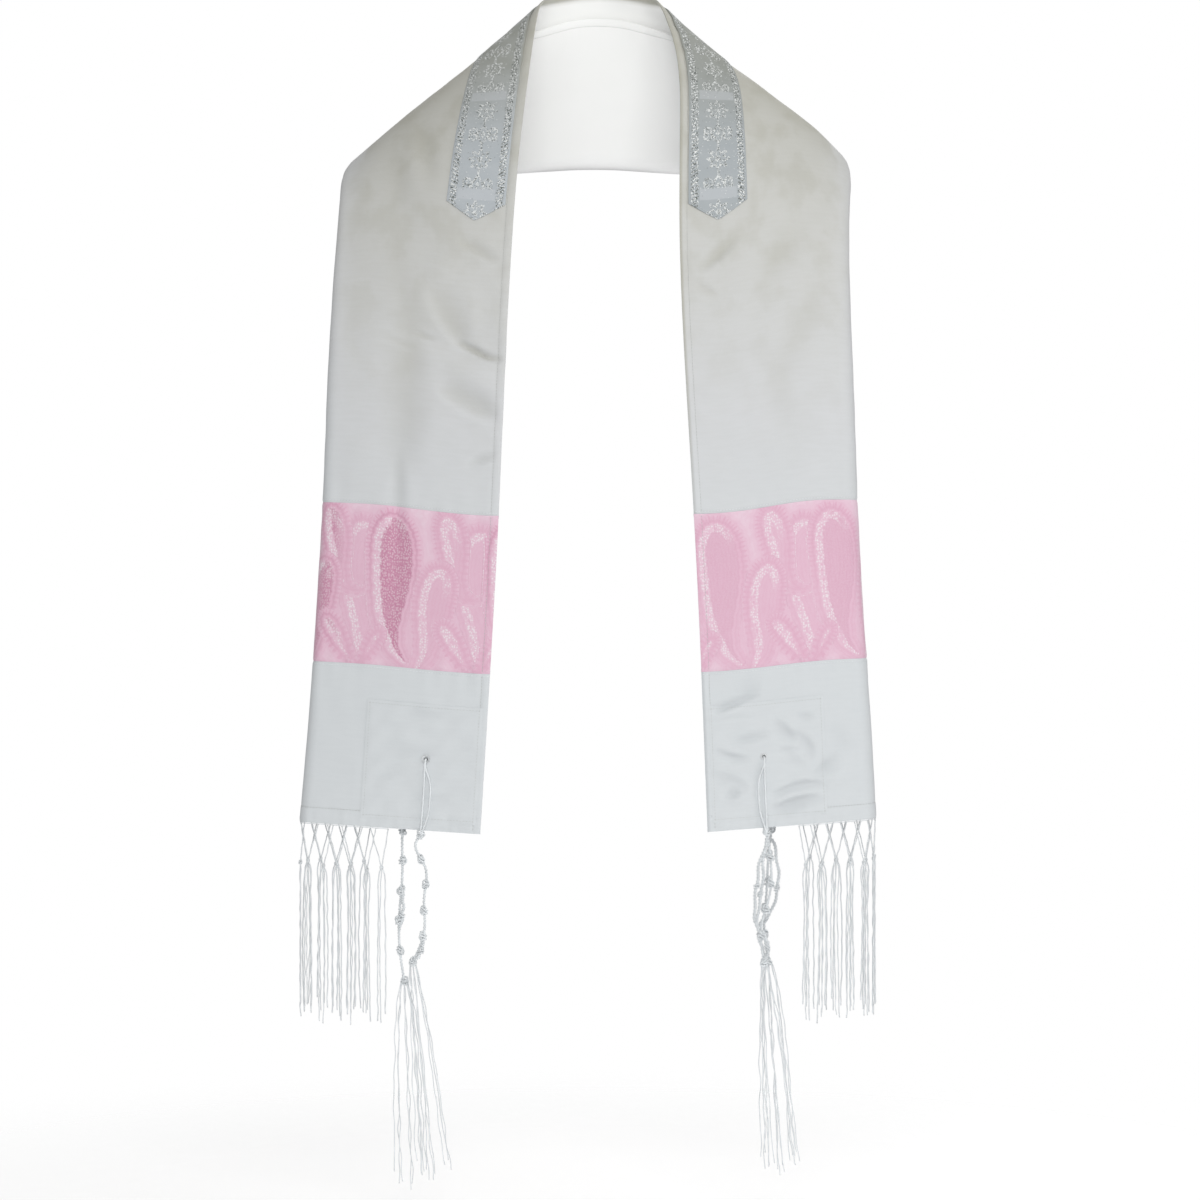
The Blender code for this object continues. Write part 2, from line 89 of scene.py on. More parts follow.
@dataclass(frozen=True)
class Cut:
    """The flat cut and what is sewn on it, as in the part's source."""

    half_length: float = 0.900
    width: float = 0.331
    end_height: float = 0.145
    band_height: float = 0.143
    fold_radius: float = 0.012
    right_fold_radius: float = 0.018
    right_fold_from: float = 0.15
    right_fold_to: float = 0.40
    neck_edge_gap: float = 0.008
    most_setback: float = 0.030
    atara_inset: float = 0.008
    atara_width: float = 0.0555
    atara_corner: float = 0.329
    atara_tip: float = 0.345
    patch_inset: float = 0.0045
    patch_side: float = 0.106
    patch_raise: float = 0.008
    eyelet_raise: float = 0.0645
    eyelet_inset: float = 0.0535
    eyelet_radius: float = 0.003
    fringe_inset: float = 0.084
    spare: float = 0.010

    @property
    def band_top(self) -> float:
        """Where the brocade band starts, along the cut."""
        return self.half_length - self.end_height - self.band_height

    @property
    def band_foot(self) -> float:
        """Where the brocade band ends, along the cut."""
        return self.half_length - self.end_height

    def across(self, distance: Array | float, layer: Layer) -> Array | float:
        """The place across the cut of a distance from a layer's neck edge."""
        return distance if layer is Layer.FRONT else self.width - distance

    def eyelet(self, side: Side, layer: Layer) -> tuple[float, float]:
        """Where a corner's eyelet lies, along and across the cut."""
        return side.value * (self.half_length - self.eyelet_raise), self.across(self.eyelet_inset, layer)


CUT = Cut()

# Lines across the folded strip, at even shares of its width: neck edge, one third, two thirds, fold.
# The x of a point is its distance from the middle, to either side.
MIDDLE_BACK_LINE = ((0, 0.062, 0.028), (0, 0.078, -0.027), (0, 0.090, -0.083), (0, 0.096, -0.140))
SHOULDER_BLADE_LINE = (
    (0.042, 0.045, 0.020),
    (0.064, 0.062, -0.034),
    (0.097, 0.080, -0.088),
    (0.135, 0.080, -0.146),
)
RIDGE_LINE = {
    Side.LEFT: ((0.057, 0, 0), (0.120, 0, -0.0525), (0.178, 0, -0.098), (0.240, 0, -0.151)),
    Side.RIGHT: ((0.058, 0, 0), (0.122, 0, -0.0535), (0.182, 0, -0.096), (0.236, 0, -0.148)),
}
# Lines across the fronts: neck edge x, y, z, fold x, y, z, and the crown of the line between them.
FRONT_LINES = {
    Side.LEFT: (
        (0.063, -0.042, -0.045, 0.244, -0.042, -0.182, 0.004),
        (0.071, -0.086, -0.120, 0.246, -0.068, -0.234, 0.005),
        (0.079, -0.112, -0.220, 0.249, -0.085, -0.310, 0.004),
        (0.090, -0.121, -0.450, 0.255, -0.092, -0.470, 0.003),
        (0.108, -0.114, -0.763, 0.275, -0.090, -0.753, 0.002),
    ),
    Side.RIGHT: (
        (0.070, -0.042, -0.045, 0.236, -0.042, -0.182, 0.004),
        (0.073, -0.086, -0.120, 0.234, -0.068, -0.234, 0.005),
        (0.072, -0.112, -0.220, 0.234, -0.085, -0.310, 0.004),
        (0.083, -0.121, -0.450, 0.239, -0.092, -0.470, 0.003),
        (0.097, -0.114, -0.761, 0.255, -0.090, -0.750, 0.002),
    ),
}
# The largest soft folds, as the solids have them: along, across, length, width, depth, slant.
SOLID_FOLDS = (
    (-0.462, 0.040, 0.050, 0.014, 0.0035, 8),
    (-0.510, 0.030, 0.035, 0.015, 0.0020, 15),
    (-0.340, 0.105, 0.045, 0.020, 0.0025, 60),
    (0.370, 0.105, 0.045, 0.018, 0.0025, -60),
    (0.560, 0.090, 0.060, 0.022, -0.0015, 80),
    (0.775, 0.035, 0.028, 0.012, 0.0018, -15),
)


@dataclass(frozen=True)
class TasselShape:
    """How one corner tassel hangs.

    Its head's bends and its strands' ends are (drop, shift). A cord beside the head has the shares of
    the head where it leaves and comes back, and how far it bulges. The strands first spread by the arch.
    """

    bends: tuple[tuple[float, float], ...]
    ends: tuple[float, float]
    cords: tuple[Place, ...]
    arch: float


TASSELS = {
    (Side.LEFT, Layer.FRONT): TasselShape(
        ((0.006, -0.0045), (0.027, 0.0027), (0.056, 0.0027), (0.087, 0.0027), (0.115, -0.0077)),
        (0.302, 0.0117),
        ((0.84, 1.00, 0.0030),),
        0.002,
    ),
    (Side.LEFT, Layer.REAR): TasselShape(
        ((0.020, 0.0), (0.041, 0.0), (0.066, -0.0020), (0.100, -0.0027), (0.136, 0.0018)),
        (0.316, 0.0090),
        ((0.40, 0.66, 0.0030),),
        0.005,
    ),
    (Side.RIGHT, Layer.FRONT): TasselShape(
        ((0.010, 0.0020), (0.028, 0.0040), (0.056, 0.0030), (0.083, -0.0042), (0.118, -0.0020)),
        (0.297, 0.0150),
        ((0.05, 0.78, -0.0080), (0.10, 0.74, -0.0130), (0.76, 0.99, 0.0055)),
        0.002,
    ),
    (Side.RIGHT, Layer.REAR): TasselShape(
        ((0.012, -0.0020), (0.029, -0.0036), (0.058, -0.0050), (0.092, -0.0070), (0.121, -0.0030)),
        (0.306, 0.0060),
        ((0.08, 0.70, 0.0100), (0.66, 0.97, -0.0050)),
        0.005,
    ),
}


# Curves and surfaces


def smooth(knots: Sequence[float], values: Array, at: Array) -> Array:
    """Reads a natural cubic spline.

    Args:
        knots: The places of the values.
        values: A row for each knot.
        at: The places to read.

    Returns:
        A row for each place.
    """
    knots, values, at = (np.asarray(given, float) for given in (knots, values, at))
    step = np.diff(knots)
    slope = np.diff(values, axis=0) / step[:, None]
    system = np.eye(len(knots))
    wanted = np.zeros_like(values)
    for i in range(1, len(knots) - 1):
        system[i, i - 1 : i + 2] = step[i - 1], 2 * (step[i - 1] + step[i]), step[i]
        wanted[i] = 6 * (slope[i] - slope[i - 1])
    bend = np.linalg.solve(system, wanted)
    i = np.clip(np.searchsorted(knots, at) - 1, 0, len(knots) - 2)
    span = step[i][:, None]
    before = (knots[i + 1] - at)[:, None] / span
    after = (at - knots[i])[:, None] / span
    curved = (before**3 - before) * bend[i] + (after**3 - after) * bend[i + 1]
    return before * values[i] + after * values[i + 1] + curved * span**2 / 6


def lengths(points: Array) -> Array:
    """The distance along a line of points, at each of them."""
    return np.concatenate(([0], np.cumsum(np.linalg.norm(np.diff(points, axis=0), axis=1))))


def between(at: Array, run: Array, table: Array) -> Array:
    """Reads a table at some places, between its rows, which lie at the rising places of run."""
    return np.stack([np.interp(at, run, column) for column in table.T], axis=-1)


def eased(value: Array | float) -> Array | float:
    """0 to 1 with level ends, for a value that is clipped to that range."""
    value = np.clip(value, 0, 1)
    return value * value * (3 - 2 * value)


def bump(value: Array, width: float) -> Array:
    """A bell of height 1 that falls off over width on both sides of 0."""
    return np.exp(-((value / width) ** 2))


def unit(vectors: Array) -> Array:
    """The vectors, at length 1."""
    return vectors / np.linalg.norm(vectors, axis=-1, keepdims=True)


def swell(along: Array, across: Array, size: float, seed: int) -> Array:
    """A smooth uneven field of about -1 to 1.

    Args:
        along: Places along the cut.
        across: Places across it.
        size: The usual distance between its rises.
        seed: Which field.

    Returns:
        Its value at each place.
    """
    random = np.random.default_rng(seed)
    total = 0
    for _ in range(6):
        angle, phase = random.uniform(0, 2 * math.pi, 2)
        pace = 2 * math.pi / (size * random.uniform(0.7, 1.6))
        total = total + np.sin(pace * (along * math.cos(angle) + across * math.sin(angle)) + phase)
    return total / 3


@dataclass(frozen=True)
class Crease:
    """A soft trough pressed in the cloth along a path, or a ridge where its depth is below 0.

    The path's rows are the place across, the drop along the cut, the half width and the depth, in
    millimetres. With skew, the side to the path's right is steeper.
    """

    side: Side
    path: tuple[tuple[float, float, float, float], ...]
    skew: float = 0.0
    lips: float = 0.22

    def spine(self) -> Array:
        """Places down the path, in metres."""
        table = np.array(self.path, float) / 1000
        knots = lengths(table[:, :2])
        return smooth(knots, table, np.linspace(0, knots[-1], 6 * len(table)))

    def lift(self, along: Array, across: Array) -> Array:
        """How far it moves the cloth out.

        Args:
            along: Places along the cut.
            across: Places across it.

        Returns:
            The distance at each place, below 0 where it presses the cloth in.
        """
        down = along * self.side.value
        spine = self.spine()
        reach = 3.2 * spine[:, 2].max()
        low, high = spine[:, :2].min(axis=0) - reach, spine[:, :2].max(axis=0) + reach
        near = (across > low[0]) & (across < high[0]) & (down > low[1]) & (down < high[1])
        lift = np.zeros(down.shape)
        if not near.any():
            return lift
        place = np.stack([across[near], down[near]], axis=-1)
        gap = np.full(len(place), np.inf)
        off, width, depth = np.zeros((3, len(place)))
        for first, last in zip(spine, spine[1:]):
            ahead = (last - first)[:2]
            share = np.clip((place - first[:2]) @ ahead / (ahead @ ahead), 0, 1)
            beside = place - first[:2] - share[:, None] * ahead
            here = np.linalg.norm(beside, axis=1)
            closer = here < gap
            gap[closer] = here[closer]
            turn = np.sign(ahead[0] * beside[:, 1] - ahead[1] * beside[:, 0])
            off[closer] = (here * turn)[closer]
            width[closer] = (first[2] + (last[2] - first[2]) * share)[closer]
            depth[closer] = (first[3] + (last[3] - first[3]) * share)[closer]
        width = np.clip(width, 0.0015, None)
        off = off / (width * (1 + self.skew * np.tanh(off / width)))
        lips = self.lips * np.exp(-2 * (np.abs(off) - 1.6) ** 2)
        lift[near] = -depth * (np.exp(-(off**2)) - lips)
        return lift


LEFT_FRONT_CREASES = (
    ((70, 404, 9, 0), (63, 422, 12, 1.5), (53, 440, 11, 2.4), (43, 452, 8, 2), (34, 460, 5, 0)),
    ((51, 457, 2, 0), (42, 460, 3, 2.2), (30, 464, 3.2, 4), (18, 469, 3, 4), (7, 471, 3, 1.8)),
    ((86, 456, 2, 0), (77, 457, 2.7, 1.6), (70, 458, 2.5, 1.2), (64, 459, 2, 0)),
    ((120, 461, 2.5, 0), (104, 464, 3, 0.7), (92, 467, 3, 0.6), (80, 468, 2.5, 0)),
    ((62, 498, 6, 0), (48, 505, 9, 1.9), (30, 512, 10, 2.7), (14, 519, 8, 2.2), (4, 522, 5, 0)),
    ((32, 568, 3, 0), (22, 564, 4, 1.9), (12, 560, 4, 1.9), (4, 558, 3, 0)),
    ((50, 366, 4, 0), (40, 369, 5, 1.8), (28, 374, 5, 2), (18, 379, 4, 1.2), (8, 381, 3, 0)),
    ((104, 834, 4, 0), (84, 833, 6, 0.8), (60, 831, 5, 0.7), (46, 830, 4, 0)),
    ((72, 873, 4, 0), (52, 871, 5, 0.8), (30, 869, 4, 0)),
    ((90, 801, 4, 0), (74, 797, 5, 0.9), (56, 796, 5, 0.8), (38, 799, 4, 0)),
    ((104, 858, 4, 0), (88, 852, 5, 0.9), (70, 850, 4, 0)),
)
LEFT_FRONT_VALLEYS = (
    ((112, 358, 11, 0), (107, 392, 14, 1), (96, 430, 14, 1), (86, 478, 14, 1.3)),
    ((99, 450, 14, 0), (93, 488, 18, 2), (91, 520, 18, 2.5), (92, 556, 16, 2), (97, 596, 12, 0)),
    ((95, 560, 5, 0), (94, 590, 6, 2), (92, 625, 7, 2.2), (91, 670, 8, 1.5), (94, 720, 8, 0)),
    ((140, 262, 8, 0), (128, 285, 10, 1.3), (118, 312, 11, 1.5), (116, 345, 9, 0)),
    ((118, 236, 7, 0), (100, 262, 9, 1.3), (88, 292, 10, 1.4), (82, 322, 8, 0)),
    ((66, 376, 12, 0), (62, 392, 15, -1), (58, 408, 12, 0)),
    ((56, 478, 9, 0), (40, 482, 11, -1), (22, 486, 11, -1), (8, 486, 8, 0)),
    ((136, 548, 10, 0), (132, 575, 13, -1.1), (133, 602, 10, 0)),
    ((150, 610, 8, 0), (146, 625, 9, -0.8), (142, 640, 8, 0)),
)
RIGHT_FRONT_CREASES = (
    ((54, 360, 5, 0), (46, 368, 6, 2.2), (36, 376, 6, 3), (24, 386, 5, 2.2), (14, 392, 4, 0)),
    ((14, 402, 3, 0), (20, 407, 4.5, 1.4), (28, 413, 4, 1.2), (36, 418, 3, 0)),
    ((54, 777, 3, 0), (44, 780, 3.4, 2.4), (30, 785, 3.6, 3), (18, 789, 3.4, 2.6), (8, 793, 3, 0)),
    ((34, 768, 2.5, 0), (26, 772, 3.2, 1.6), (16, 777, 2.6, 0)),
    ((8, 799, 2.2, 0), (24, 798, 2.6, 0.9), (46, 797, 2.2, 0)),
    ((62, 817, 3, 0), (48, 818, 3.4, 1.8), (34, 820, 3.4, 2.1), (20, 822, 3, 0)),
    ((8, 826, 3, 0), (18, 831, 3.6, 2.1), (30, 835, 3.6, 2.4), (42, 837, 3, 0)),
    ((2, 848, 4, 0), (14, 852, 6, 1.8), (30, 859, 6, 1.7), (40, 864, 4, 0)),
    ((32, 865, 3, 0), (24, 868, 4, 2.8), (14, 871, 3, 0)),
    ((56, 871, 3, 0), (68, 869, 3.6, 2.4), (82, 865, 4.2, 3), (98, 864, 3.6, 2.4), (112, 868, 3, 0)),
    ((56, 885, 4, 0), (68, 883, 6, 3.2), (82, 879, 6.5, 3.9), (98, 877, 5, 2), (108, 878, 4, 0)),
    ((96, 862, 4, 0), (106, 854, 6, 2.2), (116, 845, 6, 1.8), (124, 838, 4, 0)),
    ((62, 803, 4, 0), (70, 811, 6, 2.2), (78, 819, 5, 2), (84, 824, 4, 0)),
    ((74, 816, 4, 0), (88, 822, 5, 1.8), (96, 834, 5, 1.8), (94, 846, 4, 0)),
    ((66, 829, 2.6, 0), (77, 832, 3.6, 1.7), (88, 831, 3, 0)),
    ((68, 843, 3, 0), (80, 841, 4.4, 1.3), (92, 847, 3, 0)),
    ((84, 802, 3, 0), (92, 804, 4, 1.4), (102, 803, 3, 0)),
)
RIGHT_FRONT_VALLEYS = (
    ((120, 350, 10, 0), (108, 368, 12, 1.1), (95, 386, 13, 1.5), (81, 404, 11, 1.1), (70, 420, 9, 0)),
    ((140, 400, 10, 0), (122, 434, 13, 0.8), (103, 467, 14, 1), (88, 492, 14, 1)),
    ((92, 480, 12, 0), (84, 518, 14, 1), (93, 550, 14, 0.8), (96, 600, 11, 0)),
    ((116, 812, 7, 0), (124, 826, 9, 1.2), (130, 842, 8, 0)),
    ((22, 878, 4, 0), (36, 876, 5, -1), (50, 878, 4, 0)),
    ((100, 857, 3, 0), (118, 861, 4, -1.2), (134, 863, 3, 0)),
    ((100, 889, 4, 0), (116, 889, 5, -1.3), (134, 888, 4, 0)),
)
LEFT_REAR_CREASES = (
    ((322, 432, 5, 0), (300, 436, 8, 2), (272, 441, 9, 2.8), (244, 448, 8, 1.6), (222, 456, 6, 0)),
    ((275, 535, 6, 0), (255, 541, 8, 1.4), (232, 549, 8, 1.4), (208, 560, 6, 0)),
    ((250, 300, 8, 0), (244, 380, 11, 1.8), (240, 470, 13, 2.2), (236, 560, 13, 1.8), (240, 640, 9, 0)),
    ((300, 826, 4, 0), (276, 831, 5, 1.3), (250, 833, 5, 1.2), (232, 831, 4, 0)),
    ((66, 30, 7, 0), (92, 48, 10, 1.8), (118, 70, 11, 2.4), (146, 92, 9, 1.6), (160, 100, 7, 0)),
    ((96, 120, 7, 0), (118, 146, 10, 1.8), (140, 168, 10, 1.8), (160, 190, 7, 0)),
)
RIGHT_REAR_CREASES = (
    ((326, 462, 5, 0), (304, 467, 8, 2), (280, 471, 8, 2.6), (252, 476, 8, 1.8), (236, 478, 6, 0)),
    ((285, 372, 6, 0), (268, 386, 9, 1.8), (248, 398, 10, 1.8), (224, 410, 7, 0)),
    ((262, 310, 8, 0), (255, 400, 12, 1.8), (250, 480, 13, 2.2), (256, 570, 12, 1.6), (250, 660, 9, 0)),
    ((292, 836, 4, 0), (264, 840, 6, 1.3), (236, 842, 4, 0)),
    ((318, 868, 4, 0), (288, 872, 5, 1.6), (262, 870, 5, 1.4), (240, 866, 4, 0)),
    ((70, 46, 7, 0), (94, 72, 11, 2), (120, 98, 12, 2.6), (150, 120, 9, 1.4), (164, 128, 7, 0)),
    ((112, 14, 6, 0), (136, 22, 9, 1.6), (158, 26, 7, 0)),
    ((90, 160, 7, 0), (112, 190, 10, 1.6), (132, 214, 10, 1.4), (150, 236, 8, 0)),
)
CREASES = (
    *(Crease(Side.LEFT, path, 0.3) for path in LEFT_FRONT_CREASES),
    *(Crease(Side.LEFT, path, lips=0.05) for path in LEFT_FRONT_VALLEYS),
    *(Crease(Side.RIGHT, path, 0.3) for path in RIGHT_FRONT_CREASES),
    *(Crease(Side.RIGHT, path, lips=0.05) for path in RIGHT_FRONT_VALLEYS),
    *(Crease(Side.LEFT, path) for path in LEFT_REAR_CREASES),
    *(Crease(Side.RIGHT, path) for path in RIGHT_REAR_CREASES),
)


class Drape:
    """The folded cloth as it hangs from the neck: where each point of the flat cut lies."""

    # The tables' rows along the cut, the threads that shape them, and their columns across it.
    STATIONS = 729
    SHARES = 73
    STEP = 0.0015
    MOST_ACROSS = 0.390
    # Heights of the loose hang, of the fine unevenness and of the sewing's puckers.
    HANG = 0.00060
    UNEVEN = 0.00014
    EDGE_PUCKER = 0.00045
    SEAM_PUCKERS = (0.00028, 0.00034, 0.0003)
    CORNER_PUCKER = 0.00035
    # How deep creases press the cloth in where it counts as fully pressed.
    FULL_PRESS = 0.0040

    def __init__(self, cut: Cut) -> None:
        """Works out the whole surface from the lines across it.

        Args:
            cut: The flat cut's sizes.
        """
        self.cut = cut
        self.reach = cut.half_length + cut.spare
        left, right = self._lines(Side.LEFT), self._lines(Side.RIGHT)
        self.lines = [*reversed(left), np.array(MIDDLE_BACK_LINE), *right]
        self.middle = len(left)
        self.alongs = np.linspace(-self.reach, self.reach, self.STATIONS)
        self.shares = np.linspace(0, 1, self.SHARES)
        self.front = np.stack([self._thread(share) for share in self.shares], axis=1)
        self.front = self.front - self._outward() * self._solid_folds()[..., None]
        self.front_normals = self._outward()
        self.acrosses = np.arange(0, self.MOST_ACROSS, self.STEP)
        self.ends = np.zeros(self.STATIONS)
        self.places = np.zeros((self.STATIONS, len(self.acrosses), 3))
        self.normals = np.zeros_like(self.places)
        for row in range(self.STATIONS):
            self._lay_section(row)
        self.ends = self._evened(self.ends)

    @staticmethod
    def _lines(side: Side) -> list[Array]:
        """The lines across one half of the shawl.

        Args:
            side: Which half.

        Returns:
            Four points a line, from the shoulder blade to the hem.
        """
        fronts = []
        for row in FRONT_LINES[side]:
            neck, fold, bow = np.array(row[:3]), np.array(row[3:6]), np.array((0, -row[6], 0))
            third = (fold - neck) / 3
            fronts.append((neck, neck + third + bow, neck + 2 * third + bow, fold))
        lines = [SHOULDER_BLADE_LINE, RIDGE_LINE[side], *fronts]
        return [np.array(line) * (side.value, 1, 1) for line in lines]

    def _thread(self, share: float) -> Array:
        """One lengthwise thread of the cloth.

        Args:
            share: The share of the strip's width at which it lies.

        Returns:
            Its point at every station.
        """
        thirds = (0, 1 / 3, 2 / 3, 1)
        places = np.array([smooth(thirds, line, [share])[0] for line in self.lines])
        knots = lengths(places)
        fine = np.linspace(knots[0] - self.cut.spare, knots[-1] + self.cut.spare, 4 * self.STATIONS)
        curve = smooth(knots, places, fine)
        run = lengths(curve)
        left_hem, nape, right_hem = np.interp((knots[0], knots[self.middle], knots[-1]), fine, run)
        parts = self.alongs / self.cut.half_length
        wanted = nape + np.where(parts < 0, parts * (nape - left_hem), parts * (right_hem - nape))
        return between(wanted, run, curve)

    def _outward(self) -> Array:
        """The unit normals of the front layer."""
        return unit(np.cross(np.gradient(self.front, axis=0), np.gradient(self.front, axis=1)))

    def _solid_folds(self) -> Array:
        """How far the soft folds of the solids press each point of the front layer in."""
        across = self.shares * (self.cut.width / 2)
        depths = np.zeros((self.STATIONS, self.SHARES))
        for middle, place, length, width, depth, slant in SOLID_FOLDS:
            turn = math.radians(slant)
            down = (self.alongs - middle)[:, None]
            aside = (across - place)[None, :]
            lengthwise = aside * math.cos(turn) + down * math.sin(turn)
            crosswise = down * math.cos(turn) - aside * math.sin(turn)
            depths += depth * bump(lengthwise, length) * bump(crosswise, width)
        return depths

    def _lay_section(self, row: int) -> None:
        """Fills one row of the tables: over the front, round the fold and back behind.

        Args:
            row: The station's number.
        """
        cut, points, normals = self.cut, self.front[row], self.front_normals[row]
        reach = lengths(points)
        opening = eased(
            (self.alongs[row] - cut.right_fold_from) / (cut.right_fold_to - cut.right_fold_from)
        )
        radius = cut.fold_radius + (cut.right_fold_radius - cut.fold_radius) * opening
        flat = reach[-1] - radius
        turned = flat + math.pi * radius
        self.ends[row] = turned + flat - min(turned + flat - cut.width, cut.most_setback)
        across = self.acrosses
        here = between(np.minimum(across, flat), reach, points)
        out = between(np.minimum(across, flat), reach, normals)
        rim = between(flat, reach, points)
        aside = unit(rim - between(flat - 0.004, reach, points))
        fold_out = between(flat, reach, normals)
        angle = ((across - flat) / radius)[:, None]
        spokes = fold_out * np.cos(angle) + aside * np.sin(angle)
        turn = (across > flat) & (across < turned)
        here[turn] = (rim - fold_out * radius + spokes * radius)[turn]
        out[turn] = spokes[turn]
        behind = across >= turned
        distance = flat - (across - turned)
        part = np.clip(distance, 0, None) / flat
        depth = cut.neck_edge_gap + (2 * radius - cut.neck_edge_gap) * (1 - (1 - part) ** 2)
        rear_out = between(distance, reach, normals)
        here[behind] = (between(distance, reach, points) - rear_out * depth[:, None])[behind]
        out[behind] = -rear_out[behind]
        self.places[row], self.normals[row] = here, out

    def _evened(self, values: Array, reach: int = 14) -> Array:
        """The values of the stations, each the weighted mean of those near it."""
        weights = np.hanning(2 * reach + 3)[1:-1]
        padded = np.pad(values, reach, mode="edge")
        return np.convolve(padded, weights / weights.sum(), mode="valid")

    def end(self, along: Array) -> Array:
        """Where the rear neck edge lies across the cut."""
        return np.interp(along, self.alongs, self.ends)

    def _read(self, table: Array, along: Array, across: Array) -> Array:
        """A table's values between its rows and columns."""
        row = np.clip((along + self.reach) / (2 * self.reach), 0, 1) * (self.STATIONS - 1.001)
        column = np.clip(across / self.STEP, 0, len(self.acrosses) - 1.001)
        i, j = row.astype(int), column.astype(int)
        down, aside = (row - i)[..., None], (column - j)[..., None]
        upper = table[i, j] * (1 - aside) + table[i, j + 1] * aside
        lower = table[i + 1, j] * (1 - aside) + table[i + 1, j + 1] * aside
        return upper * (1 - down) + lower * down

    def relief(self, along: Array, across: Array) -> Array:
        """How far the creases, the loose hang and the sewing's puckers move the cloth out.

        Args:
            along: Places along the cut.
            across: Places across it.

        Returns:
            The distance at each place.
        """
        cut, drop = self.cut, np.abs(along)
        edge = np.minimum(across, cut.width - across)
        hanging = eased((drop - 0.18) / 0.20)
        corner = eased((drop - 0.77) / 0.02) * eased((0.125 - edge) / 0.02)
        lift = sum(crease.lift(along, across) for crease in CREASES)
        lift = lift + self.HANG * swell(along * 0.45, across, 0.085, 3) * hanging
        lift = lift + self.UNEVEN * swell(along * 0.6, across, 0.024, 8)
        lift = lift + self.EDGE_PUCKER * bump(edge - 0.010, 0.007) * swell(along, across * 0.1, 0.017, 12)
        for seam, size in zip((cut.band_top, cut.band_foot, cut.half_length), self.SEAM_PUCKERS):
            near = bump(drop - seam, 0.016)
            lift = lift + size * near * swell(along * 0.4, across, 0.011, int(seam * 100))
        return lift + self.CORNER_PUCKER * corner * swell(along * 1.3, across * 0.6, 0.014, 21)

    def pressed(self, along: Array, across: Array) -> Array:
        """How strongly the creases press each point of the flat cut in, 0 to 1."""
        return np.clip(-sum(crease.lift(along, across) for crease in CREASES) / self.FULL_PRESS, 0, 1)

    def place(self, along: Array, across: Array, lift: Array | float = 0.0) -> Array:
        """Where points of the flat cut hang.

        Args:
            along: Their places along the cut.
            across: Their places across it.
            lift: How far they stand off the cloth's outer face.

        Returns:
            Their places, one row of x, y, z for each.
        """
        along, across = np.broadcast_arrays(np.asarray(along, float), np.asarray(across, float))
        lift = self.relief(along, across) + lift
        normals = unit(self._read(self.normals, along, across))
        return self._read(self.places, along, across) + normals * lift[..., None]

    def axes(self, along: float, across: float) -> tuple[Array, Array, Array]:
        """A point of the cloth, and the directions out of it and up along it."""
        middle = self.place(along, across)
        out = unit(self._read(self.normals, np.asarray(along), np.asarray(across)))
        up = unit(self.place(along - math.copysign(0.004, along), across) - middle)
        return middle, out, up


# Meshes


def add_object(name: str, data: Any) -> Piece:
    """Adds an object of that data to the scene."""
    made = bpy.data.objects.new(name, data)
    bpy.context.scene.collection.objects.link(made)
    return made


def shell(name: str, outer: Array, inner: Array, along: Array, across: Array) -> Piece:
    """A closed thin cloth between two grids of points.

    Args:
        name: The object's name.
        outer: The outer face, rows by columns by 3.
        inner: The inner face, the same size.
        along: The rows' places along the flat cut, for the map that the weave follows.
        across: The columns' places across it.

    Returns:
        The object, with the flat cut as its UV map.
    """
    rows, columns = along.shape
    index = np.arange(rows * columns).reshape(rows, columns)
    corners = (index[:-1, :-1], index[1:, :-1], index[1:, 1:], index[:-1, 1:])
    outside = np.stack(corners, axis=-1).reshape(-1, 4)
    quads = [outside, outside[:, [0, 3, 2, 1]] + rows * columns]
    for rim in (index[0], index[-1, ::-1], index[::-1, 0], index[:, -1]):
        under = rim + rows * columns
        quads.append(np.stack([rim[:-1], rim[1:], under[1:], under[:-1]], axis=-1))
    faces = np.concatenate(quads)
    points = np.concatenate([outer.reshape(-1, 3), inner.reshape(-1, 3)])
    mesh = bpy.data.meshes.new(name)
    mesh.from_pydata(points.tolist(), [], faces.tolist())
    cut = np.stack([across, along], axis=-1).reshape(-1, 2)
    cut = np.concatenate([cut, cut])[faces.reshape(-1)]
    mesh.uv_layers.new(name=CUT_MAP).data.foreach_set("uv", cut.astype(np.float32).ravel())
    mesh.shade_smooth()
    mesh.set_sharp_from_angle(angle=math.radians(60))
    mesh.update()
    return add_object(name, mesh)


def paint(piece: Piece, name: str, values: Array, inner: Array | None = None) -> None:
    """Gives a shell a value at each point of its grid, the same on its inner face unless given."""
    attribute = piece.data.attributes.new(name, "FLOAT", "POINT")
    both = np.concatenate([values.ravel(), (values if inner is None else inner).ravel()])
    attribute.data.foreach_set("value", both.astype(np.float32))


def laid(name: str, drape: Drape, spots: tuple[Array, Array], outer: Array, inner: Array) -> Piece:
    """A cloth at those spots of the flat cut, whose faces stand that far off the drape."""
    return shell(name, drape.place(*spots, outer), drape.place(*spots, inner), *spots)


def spread(start: float, stop: float, step: float) -> Array:
    """Even places from start to stop, about step apart."""
    return np.linspace(start, stop, max(2, round((stop - start) / step) + 1))


def joined(*parts: Iterable[float]) -> Array:
    """Rising places from several lists, without repeats."""
    return np.unique(np.round(np.concatenate([np.asarray(part, float) for part in parts]), 6))


